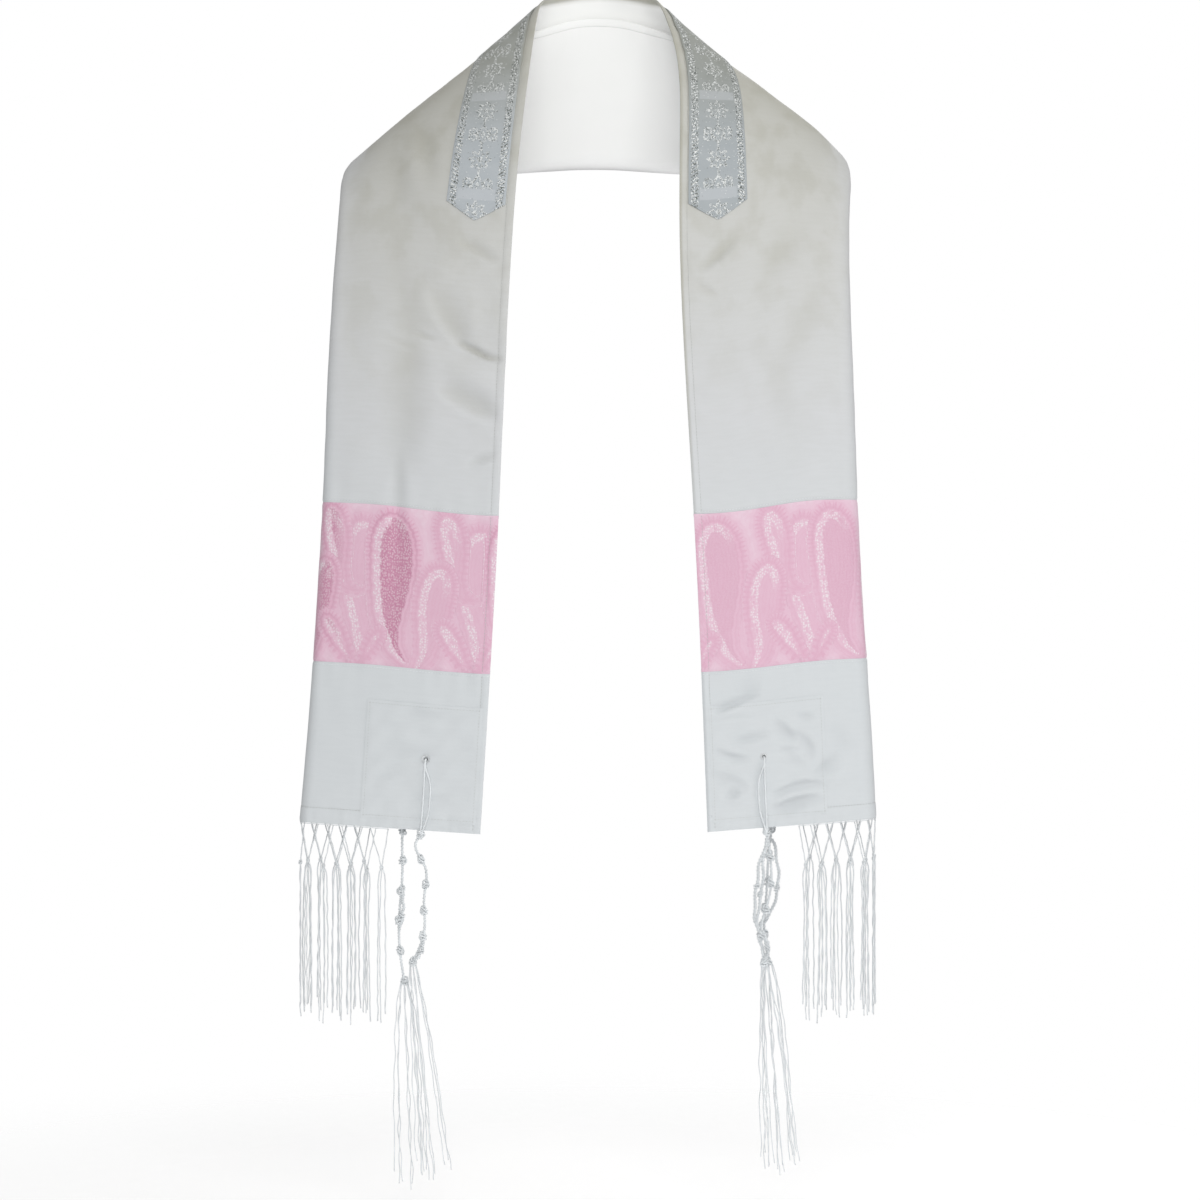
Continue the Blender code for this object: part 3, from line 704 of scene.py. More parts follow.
def curves(name: str, paths: Sequence[Array], radii: Sequence[float] = ()) -> Piece:
    """A curve object with a line along each path, which a thread or a row of stitches follows.

    Args:
        name: The object's name.
        paths: The lines' points.
        radii: The share of the thread's radius for each line. Without them it is 1.

    Returns:
        The object.
    """
    data = bpy.data.curves.new(name, "CURVE")
    data.dimensions = "3D"
    for number, path in enumerate(paths):
        spline = data.splines.new("POLY")
        spline.points.add(len(path) - 1)
        flat = np.concatenate([path, np.ones((len(path), 1))], axis=1)
        spline.points.foreach_set("co", flat.astype(np.float32).ravel())
        share = radii[number] if radii else 1.0
        spline.points.foreach_set("radius", np.full(len(path), share, np.float32))
    return add_object(name, data)


def settled(guide: Piece, name: str) -> Piece:
    """The plain mesh of what an object's modifiers make of it, in its place."""
    graph = bpy.context.evaluated_depsgraph_get()
    mesh = bpy.data.meshes.new_from_object(guide.evaluated_get(graph))
    mesh.name = name
    bpy.data.objects.remove(guide)
    return add_object(name, mesh)


def fasten(piece: Piece, slot: str, *nodes: str) -> None:
    """Makes a finished piece ride on the shawl, in place of the nodes."""
    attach(piece, BODY)
    if nodes:
        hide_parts(*nodes)
    log.info("%s: %d faces", piece.name, len(piece.data.polygons))


# Node trees


class Wire:
    """A node's output, on which arithmetic adds the Math nodes that work it out."""

    def __init__(self, board: "Board", socket: Any) -> None:
        """Wraps a socket of a board."""
        self.board = board
        self.socket = socket

    def __add__(self, other: Any) -> "Wire":
        """self + other."""
        return self.board.math("ADD", self, other)

    def __radd__(self, other: Any) -> "Wire":
        """other + self."""
        return self.board.math("ADD", other, self)

    def __sub__(self, other: Any) -> "Wire":
        """self - other."""
        return self.board.math("SUBTRACT", self, other)

    def __rsub__(self, other: Any) -> "Wire":
        """other - self."""
        return self.board.math("SUBTRACT", other, self)

    def __mul__(self, other: Any) -> "Wire":
        """self * other."""
        return self.board.math("MULTIPLY", self, other)

    def __rmul__(self, other: Any) -> "Wire":
        """other * self."""
        return self.board.math("MULTIPLY", other, self)

    def __truediv__(self, other: Any) -> "Wire":
        """self / other."""
        return self.board.math("DIVIDE", self, other)

    def __abs__(self) -> "Wire":
        """abs(self)."""
        return self.board.math("ABSOLUTE", self)


class Board:
    """A node tree, written to by name."""

    def __init__(self, tree: Any) -> None:
        """Takes the tree."""
        self.tree = tree

    def node(self, kind: str, settings: Settings = None, **values: Any) -> Any:
        """Adds a node.

        Args:
            kind: Its type's name.
            settings: What is set on the node first. "stops" gives a ramp's places and colours.
            values: Values or wires by socket name, with _ for a space, or by number as in _0.

        Returns:
            The node.
        """
        made = self.tree.nodes.new(kind)
        for name, value in (settings or {}).items():
            if name == "stops":
                self._set_stops(made.color_ramp, value)
            else:
                setattr(made, name, value)
        for name, value in values.items():
            key = int(name[1:]) if name[0] == "_" else name.replace("_", " ")
            self.plug(value, made.inputs[key])
        return made

    def out(self, kind: str, settings: Settings = None, output: Any = 0, **values: Any) -> Wire:
        """Adds a node and returns one of its outputs."""
        return Wire(self, self.node(kind, settings, **values).outputs[output])

    def plug(self, value: Any, socket: Any) -> None:
        """Links a wire to a socket, or sets the socket to a value."""
        if isinstance(value, Wire):
            self.tree.links.new(value.socket, socket)
        elif socket.type == "RGBA" and len(value) == 3:
            socket.default_value = (*value, 1)
        else:
            socket.default_value = value

    @staticmethod
    def _set_stops(ramp: Any, stops: Sequence[tuple[float, Colour]]) -> None:
        """Gives a colour ramp its stops."""
        while len(ramp.elements) < len(stops):
            ramp.elements.new(1)
        for element, (place, colour) in zip(ramp.elements, stops):
            element.position = place
            element.color = (*colour, 1)

    def math(self, operation: str, *values: Any) -> Wire:
        """A Math node's result."""
        numbered = {f"_{index}": value for index, value in enumerate(values)}
        return self.out("ShaderNodeMath", {"operation": operation}, **numbered)

    def ramp(self, value: Wire, low: float, high: float) -> Wire:
        """0 below low and 1 above high, with level ends. With low above high it falls."""
        settings = {"interpolation_type": "SMOOTHSTEP"}
        limits = {"_1": low, "_2": high, "_3": 0.0, "_4": 1.0}
        if low > high:
            limits = {"_1": high, "_2": low, "_3": 1.0, "_4": 0.0}
        return self.out("ShaderNodeMapRange", settings, _0=value, **limits)

    def band(self, value: Wire, middle: float, half: float, soft: float) -> Wire:
        """1 within half of middle, and 0 past soft more."""
        return self.ramp(abs(value - middle), half + soft, half)

    def wave(self, value: Wire, pitch: float) -> Wire:
        """A sine of a value, -1 to 1, that repeats at every pitch."""
        return self.math("SINE", value * (2 * math.pi / pitch))

    def most(self, first: Wire, second: Wire) -> Wire:
        """The larger of two values."""
        return self.math("MAXIMUM", first, second)

    def tint(self, factor: Any, first: Any, second: Any) -> Wire:
        """A mix of two colours."""
        settings = {"data_type": "RGBA"}
        return self.out("ShaderNodeMix", settings, 2, _0=factor, _6=first, _7=second)

    def layered(self, base: Any, *coats: tuple[Any, Any]) -> Wire:
        """A colour with others laid over it in turn, each with its mask."""
        for mask, colour in coats:
            base = self.tint(mask, base, colour)
        return base

    def join(self, x: Any, y: Any, z: Any = 0.0) -> Wire:
        """A vector of three numbers."""
        return self.out("ShaderNodeCombineXYZ", X=x, Y=y, Z=z)

    def noise(self, vector: Wire, scale: float, detail: float = 2.0) -> Wire:
        """Smooth noise of 0 to 1."""
        return self.out("ShaderNodeTexNoise", Vector=vector, Scale=scale, Detail=detail)

    def attribute(self, name: str) -> Wire:
        """A value that the piece carries at its points."""
        return self.out("ShaderNodeAttribute", {"attribute_name": name}, "Fac")

    def cut(self) -> tuple[Wire, Wire]:
        """The places across and along the flat cut, in metres."""
        parts = self.node("ShaderNodeSeparateXYZ", Vector=self.out("ShaderNodeUVMap", {"uv_map": CUT_MAP}))
        return Wire(self, parts.outputs[0]), Wire(self, parts.outputs[1])

    def bump(self, height: Wire, distance: float, strength: float) -> Wire:
        """The normal of a surface with that height on it, in metres times distance."""
        return self.out("ShaderNodeBump", Strength=strength, Distance=distance, Height=height)


@dataclass(frozen=True)
class Finish:
    """A material, and what its shader takes."""

    name: str

    def sockets(self, board: Board) -> dict[str, Any]:
        """The values and wires that its shader takes, by socket."""
        raise NotImplementedError

    def build(self) -> Material:
        """Makes the material."""
        made = bpy.data.materials.new(self.name)
        made.use_nodes = True
        board = Board(made.node_tree)
        for name, value in self.sockets(board).items():
            board.plug(value, made.node_tree.nodes["Principled BSDF"].inputs[name])
        return made


@dataclass(frozen=True)
class Satin(Finish):
    """Smooth ivory satin with a soft sheen, cooler at the hems; painted shade darkens and warms it at the
    shoulders.

    Painted light makes it near white and faintly glowing round the nape, which the attribute "reverse"
    gives.
    Painted shade darkens it in creases and over the shoulders, which the attribute "hollow" gives.
    """

    name: str = "ivory_satin"
    # Stops of the height ramp: the darker, warmer colour at the shoulders is painted shade.
    shaded_shoulder: Colour = (0.490, 0.485, 0.430)
    chest: Colour = (0.602, 0.612, 0.624)
    hem: Colour = (0.615, 0.643, 0.662)
    # Colours of painted shade: in creases, at the shoulders and along the edge.
    khaki_shade: Colour = (0.350, 0.340, 0.268)
    shade: Colour = (0.440, 0.465, 0.485)
    bright: Colour = (0.80, 0.80, 0.79)
    # Painted light round the nape: a near-white colour and a faint glow.
    reverse: Colour = (0.930, 0.935, 0.930)
    painted_glow: Colour = (0.100, 0.100, 0.100)
    roughness: float = 0.46

    def sockets(self, board: Board) -> dict[str, Any]:
        """What its shader takes, by socket."""
        across, along = board.cut()
        place = board.out("ShaderNodeTexCoord", output="Object")
        height = board.out("ShaderNodeSeparateXYZ", output="Z", Vector=place)
        # Colour by height, with painted shade towards the shoulders; the rear layer reads as lower.
        rear = board.ramp(across, 0.14, 0.19) * 0.24
        rise = (height + 0.80) / 0.80 - rear
        stops = ((0.0, self.hem), (0.28, self.hem), (0.52, self.chest), (0.98, self.shaded_shoulder))
        ground = board.out("ShaderNodeValToRGB", {"stops": stops}, Fac=rise)
        # Darker mottled patches that grow towards the shoulders: painted shade.
        patches = board.ramp(board.noise(board.join(across * 1.3, along), 24.0, 4.0), 0.44, 0.64)
        # The colour of painted shade: cool grey low down, warmer and yellower higher up.
        deep = board.tint(board.ramp(rise, 0.30, 0.66), self.shade, self.khaki_shade)
        # The rear layer gets less painted shade in its creases.
        behind = board.ramp(across, 0.17, 0.19) * 0.26
        threads = board.noise(board.join(across * 5200, along * 420), 1.0, 2.0)
        slubs = board.noise(board.join(across * 260, along * 2600), 1.0, 3.0)
        mottle = board.noise(board.join(across, along), 38.0, 3.0)
        streaks = board.noise(board.join(across * 48, along * 330), 1.0, 4.0)
        sheen = threads * 0.5 + slubs * 0.3 + mottle * 0.2
        # Painted shadow along the right front's neck edge, where it turns under.
        painted_edge_shadow = board.ramp(across, 0.0032, 0.0008) * board.ramp(along, 0.05, 0.25)
        # Painted light: round the nape, where the back band's inside shows, near white with a faint glow.
        reverse = board.attribute("reverse")
        colour = board.layered(
            ground,
            (patches * board.ramp(rise, 0.40, 0.95) * 0.30, self.khaki_shade),
            (board.attribute("hollow") * (0.44 - behind), deep),
            (board.ramp(sheen, 0.30, 0.70) * 0.10, self.bright),
            (board.ramp(streaks, 0.62, 0.36) * 0.045, deep),
            (painted_edge_shadow * 0.50, deep),
            (reverse * 0.9, self.reverse),
        )
        return {
            "Base Color": colour,
            "Emission Color": board.tint(reverse, (0.0, 0.0, 0.0), self.painted_glow),
            "Emission Strength": 1.0,
            "Roughness": self.roughness + (slubs - 0.5) * 0.10,
            "Specular IOR Level": 0.25,
            "Sheen Weight": 0.06,
            "Sheen Roughness": 0.4,
            "Coat Weight": 0.06,
            "Coat Roughness": 0.30,
            "Normal": board.bump(threads * 0.6 + slubs * 0.4, 0.00012, 0.45),
        }


@dataclass(frozen=True)
class Brocade(Finish):
    """Pink jacquard: tone-on-tone paisleys with toothed borders, pale flecks and dotted hearts.

    The attribute "depth" says how deep in a figure a place lies, "ring" how far round its edge, and
    "tone" how dark the figure is, which also carries painted shade.
    """

    name: str = "pink_brocade"
    ground: Colour = (0.765, 0.585, 0.675)
    figure: Colour = (0.725, 0.485, 0.595)
    border: Colour = (0.665, 0.350, 0.480)
    deep: Colour = (0.510, 0.200, 0.320)
    pale: Colour = (0.800, 0.735, 0.770)
    tooth_pitch: float = 0.0044
    ruffle_pitch: float = 0.0105
    line_pitch: float = 0.0034
    fleck_pitch: float = 0.0022
    dot_pitch: float = 0.0021
    weft_pitch: float = 0.00062
    column_depth: float = 0.0100

    def _dots(self, board: Board, across: Wire, along: Wire, pitch: float) -> Wire:
        """Small round dots, a pitch apart and a little uneven."""
        place = board.join(across / pitch, along / (pitch * 1.15))
        flat = {"voronoi_dimensions": "2D"}
        near = board.out("ShaderNodeTexVoronoi", flat, Vector=place, Scale=1.0, Randomness=0.75)
        return board.ramp(near, 0.42, 0.24)

    def sockets(self, board: Board) -> dict[str, Any]:
        """What its shader takes, by socket."""
        across, along = board.cut()
        depth, ring, tone = (board.attribute(name) for name in ("depth", "ring", "tone"))
        place = board.join(across, along)
        mottle = board.noise(place, 60.0, 3.0)
        cloudy = board.noise(place, 150.0, 2.0)
        specks = board.ramp(board.noise(place, 620.0, 2.0), 0.36, 0.58)
        sprigs = board.noise(board.join(across * 330, along * 240), 1.0, 3.0)
        threads = board.noise(board.join(across * 900, along * 4200), 1.0, 2.0)
        ragged = (board.noise(place, 520.0, 3.0) - 0.5) * 0.0024
        depth = depth + ragged + board.wave(ring, self.ruffle_pitch) * 0.0005
        teeth = board.ramp(board.wave(ring, self.tooth_pitch), -0.3, 0.8)
        head = board.ramp(abs(ring), 0.135, 0.050) * 0.65 + 0.35
        one_side = board.ramp(ring, 0.004, 0.016)
        inside = board.ramp(depth, -0.0006, 0.0010)
        away = board.ramp(depth, 0.0005, -0.0105)
        toothed = board.ramp(depth + teeth * head * 0.0034, 0.0010, 0.0024)
        border = toothed * board.ramp(depth, 0.0098, 0.0050) * head * (teeth * 0.40 + 0.60)
        rim = board.band(depth, 0.0034, 0.0004, 0.0012) * head
        crown = board.ramp(abs(ring), 0.062, 0.034)
        column = board.band(depth, self.column_depth, 0.0024, 0.0022) * board.most(one_side, crown)
        core = board.ramp(depth - one_side * 0.0056, 0.0060, 0.0082)
        fine = self._dots(board, across, along, self.fleck_pitch)
        coarse = self._dots(board, across, along, self.dot_pitch) * board.ramp(cloudy, 0.30, 0.52)
        beads = board.band(depth, self.column_depth, 0.0003, 0.0008) * one_side * teeth
        lines = board.ramp(board.wave(depth, self.line_pitch), 0.15, 0.95)
        weight = tone * core * board.ramp(mottle, 0.10, 0.44) * (specks * 0.34 + 0.66)
        flecked = column * board.ramp(cloudy, 0.30, 0.54) * (1.0 - weight * 0.7)
        colour = board.layered(
            self.figure,
            (away * 0.85, self.ground),
            (lines * (1.0 - away) * 0.22, self.border),
            (board.ramp(cloudy, 0.40, 0.70) * 0.14, self.border),
            (core * 0.16, self.border),
            (border * (0.50 + tone * 0.24), self.border),
            (rim * (0.05 + tone * 0.30), self.deep),
            (weight * 0.96, self.deep),
            (coarse * weight * 0.42, self.pale),
            (flecked * 0.20, self.pale),
            (flecked * fine * 0.80, self.pale),
            (beads * 0.50, self.border),
            (board.ramp(sprigs, 0.46, 0.64) * away * 0.45, self.figure),
            (board.ramp(threads, 0.35, 0.75) * 0.14, self.pale),
        )
        flecks = board.most(flecked * fine, coarse * weight * 0.5)
        weft = board.wave(along, self.weft_pitch) * 0.12 * (1.0 - flecks)
        height = weft + inside * 0.8 + flecks * 0.7 + threads * 0.4
        return {
            "Base Color": colour,
            "Roughness": 0.62 - inside * 0.12 - flecks * 0.06,
            "Specular IOR Level": 0.30,
            "Sheen Weight": 0.15,
            "Sheen Roughness": 0.4,
            "Normal": board.bump(height, 0.00018, 0.6),
        }


@dataclass(frozen=True)
class SilverBrocade(Finish):
    """Silver-grey brocade of the neckband: glittering vines along its edges and ornaments between."""

    name: str = "silver_brocade"
    ground: Colour = (0.440, 0.475, 0.500)
    # The colour of painted shade where the band turns over the shoulders.
    worn: Colour = (0.335, 0.345, 0.310)
    dark: Colour = (0.150, 0.165, 0.155)
    silver: Colour = (0.880, 0.900, 0.890)
    glossy: Colour = (0.58, 0.60, 0.62)
    plain: Colour = (0.60, 0.62, 0.65)
    leaf_pitch: float = 0.0076
    motif_pitch: float = 0.0520
    bar_pitch: float = 0.104
    rib_pitch: float = 0.0007
    rosette: float = 0.0104
    scrolls: tuple[tuple[float, float], ...] = ((0.0098, 0.0040), (0.0116, 0.0022))

    def _reach(self, board: Board, x: Wire, y: Wire, radius: float) -> Wire:
        """How far a place lies from the middle of a circle: 1 on its edge, less inside."""
        aside, up = x / radius, y / radius
        return board.math("SQRT", aside * aside + up * up)

    def _border(self, board: Board, edge: Wire, along: Wire) -> Wire:
        """A close-set strip of leaves along an edge, with a waving outer and inner line."""
        veins = board.math("SINE", along * (4 * math.pi / self.leaf_pitch) + edge * 900.0)
        strip = board.band(edge - board.wave(along, self.leaf_pitch) * 0.0007, 0.0054, 0.0030, 0.0008)
        return strip * board.ramp(veins, -0.75, -0.25)

    def _ornaments(self, board: Board, off: Wire, along: Wire) -> Wire:
        """Rosettes, diamonds and scrolls in turn down the middle of the band.

        Args:
            board: The material's board.
            off: The distance from the band's middle line, below 0 to one side.
            along: The place along the cut.

        Returns:
            1 on the ornaments and 0 between them.
        """
        spot = (board.math("FRACT", along / self.motif_pitch) - 0.5) * self.motif_pitch
        reach = self._reach(board, off, spot, self.rosette)
        petals = board.math("COSINE", board.math("ARCTAN2", off, spot) * 8.0) * 0.20 + 0.74
        marks = board.band(reach - petals, 0.0, 0.15, 0.07)
        marks = board.most(marks, board.ramp(reach, 0.36, 0.24))
        far = self.motif_pitch / 2 - abs(spot)
        diamond = abs(off) / 0.0066 + far / 0.0105
        marks = board.most(marks, board.band(diamond, 0.92, 0.16, 0.07))
        marks = board.most(marks, board.ramp(diamond, 0.45, 0.32))
        for aside, radius in self.scrolls:
            scroll = self._reach(board, abs(off) - aside, far - 0.0030, radius)
            marks = board.most(marks, board.band(scroll, 0.9, 0.22, 0.10))
        stem = board.ramp(abs(off), 0.0013, 0.0007) * board.band(far, 0.0128, 0.0018, 0.0004)
        return board.most(marks, stem)

    def sockets(self, board: Board) -> dict[str, Any]:
        """What its shader takes, by socket."""
        across, along = board.cut()
        off = across - (CUT.atara_inset + CUT.atara_width / 2)
        edge = CUT.atara_width / 2 - abs(off)
        middle = board.ramp(edge, 0.0098, 0.0106)
        ornaments = self._ornaments(board, off, along) * middle
        bar = board.math("FRACT", abs(along) / self.bar_pitch + 0.42)
        plain = board.band(bar, 0.5, 0.045, 0.012) * middle
        marks = board.most(self._border(board, edge, along), ornaments) * (1.0 - plain)
        place = board.join(across, along)
        grain = board.out("ShaderNodeTexVoronoi", output="Color", Vector=place, Scale=1150.0)
        parts = board.node("ShaderNodeSeparateColor", Color=grain)
        spark, tilt = (Wire(board, parts.outputs[index]) for index in (0, 1))
        crumbs = board.ramp(spark, 0.972, 0.985) * board.ramp(edge, 0.0012, 0.0020)
        gaps = board.ramp(spark + (1.0 - middle) * 0.14, 0.28, 0.38)
        broken = board.most(marks * gaps * (1.0 - middle * 0.18), crumbs * 0.6)
        # The glitter's flecks are the thread's silver, painted dark to bright at random as glints and
        # shade.
        silver_and_glint_fleck = board.tint(board.ramp(tilt + middle * 0.16, 0.38, 0.60), self.dark, self.silver)
        sheen = board.noise(board.join(across * 30, along * 90), 1.0, 2.0)
        colour = board.layered(
            self.ground,
            # Painted shade where the band turns over the shoulders, towards the nape.
            (board.ramp(abs(along), 0.290, 0.150) * 0.95, self.worn),
            (board.ramp(sheen, 0.3, 0.7) * 0.16, self.glossy),
            (board.ramp(along, 0.06, 0.20) * 0.22, self.dark),
            (broken, silver_and_glint_fleck),
            (plain * 0.34, self.plain),
        )
        ribs = board.wave(along, self.rib_pitch)
        height = broken * (0.6 + tilt) + ribs * 0.08 * (1.0 - broken)
        return {
            "Base Color": colour,
            "Metallic": broken * 0.25,
            "Roughness": 0.50 - broken * 0.10,
            "Specular IOR Level": 0.35,
            "Normal": board.bump(height, 0.00014, 0.8),
        }


@dataclass(frozen=True)
class Thread(Finish):
    """Plain twisted thread, with a faint painted glow that brightens it."""

    name: str = "white_thread"
    colour: Colour = (0.770, 0.800, 0.820)
    roughness: float = 0.62
    glow: float = 0.05

    def sockets(self, board: Board) -> dict[str, Any]:
        """What its shader takes, by socket."""
        place = board.out("ShaderNodeTexCoord", output="Object")
        fuzz = board.noise(place, 2600.0, 3.0)
        dull = tuple(part * 0.90 for part in self.colour)
        shade = board.tint(board.ramp(board.noise(place, 90.0, 2.0), 0.35, 0.7), dull, self.colour)
        return {
            "Base Color": shade,
            # Painted glow: the thread glows faintly though it is no lamp.
            "Emission Color": shade,
            "Emission Strength": self.glow,
            "Roughness": self.roughness + (fuzz - 0.5) * 0.15,
            "Sheen Weight": 0.3,
            "Normal": board.bump(fuzz, 0.00012, 0.6),
        }


@dataclass(frozen=True)
class StudioFloor(Finish):
    """Plain pale floor that fades out round its edge."""

    name: str = "studio_floor"
    colour: Colour = (0.86, 0.86, 0.86)
    glow: float = 0.30
    clear_to: float = 0.35
    faded_at: float = 1.00

    def sockets(self, board: Board) -> dict[str, Any]:
        """What its shader takes, by socket."""
        grain = board.noise(board.out("ShaderNodeTexCoord", output="Object"), 30.0, 2.0)
        shade = board.tint(grain, tuple(part * 0.98 for part in self.colour), self.colour)
        return {
            "Base Color": shade,
            "Roughness": 0.9,
            "Emission Color": shade,
            "Emission Strength": self.glow,
        }

    def build(self) -> Material:
        """Makes the material, and lets it fade out."""
        made = super().build()
        board = Board(made.node_tree)
        place = board.out("ShaderNodeTexCoord", output="Object")
        reach = board.out("ShaderNodeVectorMath", {"operation": "LENGTH"}, "Value", _0=place)
        faded = board.ramp(reach, self.clear_to, self.faded_at)
        opaque = Wire(board, made.node_tree.nodes["Principled BSDF"].outputs[0])
        clear = board.out("ShaderNodeBsdfTransparent")
        mixed = board.out("ShaderNodeMixShader", Fac=faded, _1=opaque, _2=clear)
        board.plug(mixed, made.node_tree.nodes["Material Output"].inputs["Surface"])
        return made


class Kit:
    """A Geometry Nodes tree with named inputs, used as a modifier."""

    def __init__(self, name: str, **inputs: float) -> None:
        """Makes the group and its sockets.

        Args:
            name: The group's name.
            inputs: Each number's default, by name. A whole number gets an integer socket.
        """
        self.tree = bpy.data.node_groups.new(name, "GeometryNodeTree")
        self.identifiers: dict[str, str] = {}
        self._socket("Geometry", "Geometry", "OUTPUT")
        self._socket("Geometry", "Geometry")
        for label, default in inputs.items():
            self._socket(label, "Int" if isinstance(default, int) else "Float").default_value = default
        self._socket("Material", "Material")
        self.board = Board(self.tree)
        self.given = self.board.node("NodeGroupInput")

    def _socket(self, label: str, kind: str, way: str = "INPUT") -> Any:
        """Adds a socket to the group and keeps its identifier."""
        kind = f"NodeSocket{kind}"
        socket = self.tree.interface.new_socket(label, in_out=way, socket_type=kind)
        self.identifiers[label] = socket.identifier
        return socket

    def input(self, label: str) -> Wire:
        """The wire of a named input."""
        return Wire(self.board, self.given.outputs[label])

    def close(self, geometry: Wire) -> None:
        """Ends the tree: instances made real, smooth faces and the material."""
        real = self.board.out("GeometryNodeRealizeInstances", Geometry=geometry)
        soft = self.board.out("GeometryNodeSetShadeSmooth", Geometry=real)
        dressed = self.board.out("GeometryNodeSetMaterial", Geometry=soft, Material=self.input("Material"))
        result = self.board.node("NodeGroupOutput")
        self.board.plug(dressed, result.inputs[0])

    def make(self, name: str, guide: Piece, **values: Any) -> Piece:
        """Runs the tree on a guide and returns the plain mesh that it makes."""
        modifier = guide.modifiers.new(name, "NODES")
        modifier.node_group = self.tree
        for label, value in values.items():
            modifier[self.identifiers[label]] = value
        return settled(guide, name)


def stitch_kit() -> Kit:
    """Rows of stitches: small spindles along lines, each a little off true."""
    kit = Kit("stitch_rows", Pitch=0.0028, Length=0.0020, Radius=0.0002, Lean=0.0, Seed=1)
    board, given = kit.board, kit.input
    line, pitch, radius = given("Geometry"), given("Pitch"), given("Radius")
    spaced = board.node("GeometryNodeCurveToPoints", {"mode": "LENGTH"}, Curve=line, Length=pitch)
    off_true = (0.05, 0.05, 0.05)
    limits = {"_0": tuple(-angle for angle in off_true), "_1": off_true, "Seed": given("Seed")}
    wobble = board.out("FunctionNodeRandomValue", {"data_type": "FLOAT_VECTOR"}, **limits)
    lean = board.join(given("Lean"), 0.0)
    leaning = board.out("ShaderNodeVectorMath", {"operation": "ADD"}, _0=wobble, _1=lean)
    ahead = Wire(board, spaced.outputs["Rotation"])
    aside = board.out("FunctionNodeEulerToRotation", Euler=leaning)
    turn = board.out("FunctionNodeRotateRotation", {"rotation_space": "LOCAL"}, _0=ahead, _1=aside)
    bead = board.out("GeometryNodeMeshUVSphere", Segments=6, Rings=4, Radius=1.0)
    size = board.join(radius, radius, given("Length") * 0.5)
    shaped = board.out("GeometryNodeTransform", Geometry=bead, Scale=size)
    spots = Wire(board, spaced.outputs["Points"])
    placed = board.out("GeometryNodeInstanceOnPoints", Points=spots, Instance=shaped, Rotation=turn)
    kit.close(placed)
    return kit


def thread_kit() -> Kit:
    """Twisted threads along lines: a lobed section that turns as it goes."""
    kit = Kit("twisted_threads", Radius=0.0006, Groove=0.7, Plies=3, Twist=900.0)
    board, given = kit.board, kit.input
    tilt = board.out("GeometryNodeSplineParameter", output="Length") * given("Twist")
    turned = board.out("GeometryNodeSetCurveTilt", Curve=given("Geometry"), Tilt=tilt)
    outer = given("Radius")
    radii = {"Inner_Radius": outer * given("Groove"), "Outer_Radius": outer}
    section = board.out("GeometryNodeCurveStar", Points=given("Plies"), **radii)
    swept = board.node("GeometryNodeCurveToMesh", Curve=turned, Profile_Curve=section)
    board.plug(board.out("GeometryNodeInputRadius"), swept.inputs["Scale"])
    swept.inputs["Fill Caps"].default_value = True
    kit.close(Wire(board, swept.outputs["Mesh"]))
    return kit


# Cloth


@dataclass
class Cloths:
    """What every piece is made with: the drape, the kits and the finishes."""

    drape: Drape
    stitches: Kit
    threads: Kit
    satin: Material
    brocade: Material
    silver: Material
    thread: Material
    seam_thread: Material
    eyelet_thread: Material
    lurex: Material


# Distances from an edge at which a cloth has rows of points: at neck edges, hems, seams and trims.
EDGE_MARKS = (0.0, 0.0006, 0.0022, 0.0042, 0.0058, 0.0066, 0.0072, 0.0080, 0.0098)
HEM_MARKS = (0.0, 0.0006, 0.0030, 0.0070, 0.0110, 0.0128, 0.0136, 0.0142, 0.0150, 0.0170)
SEAM_MARKS = (0.0, 0.0007, 0.0016, 0.0028, 0.0045)
TRIM_MARKS = (0.0, 0.0005, 0.0012, 0.0022, 0.0034)


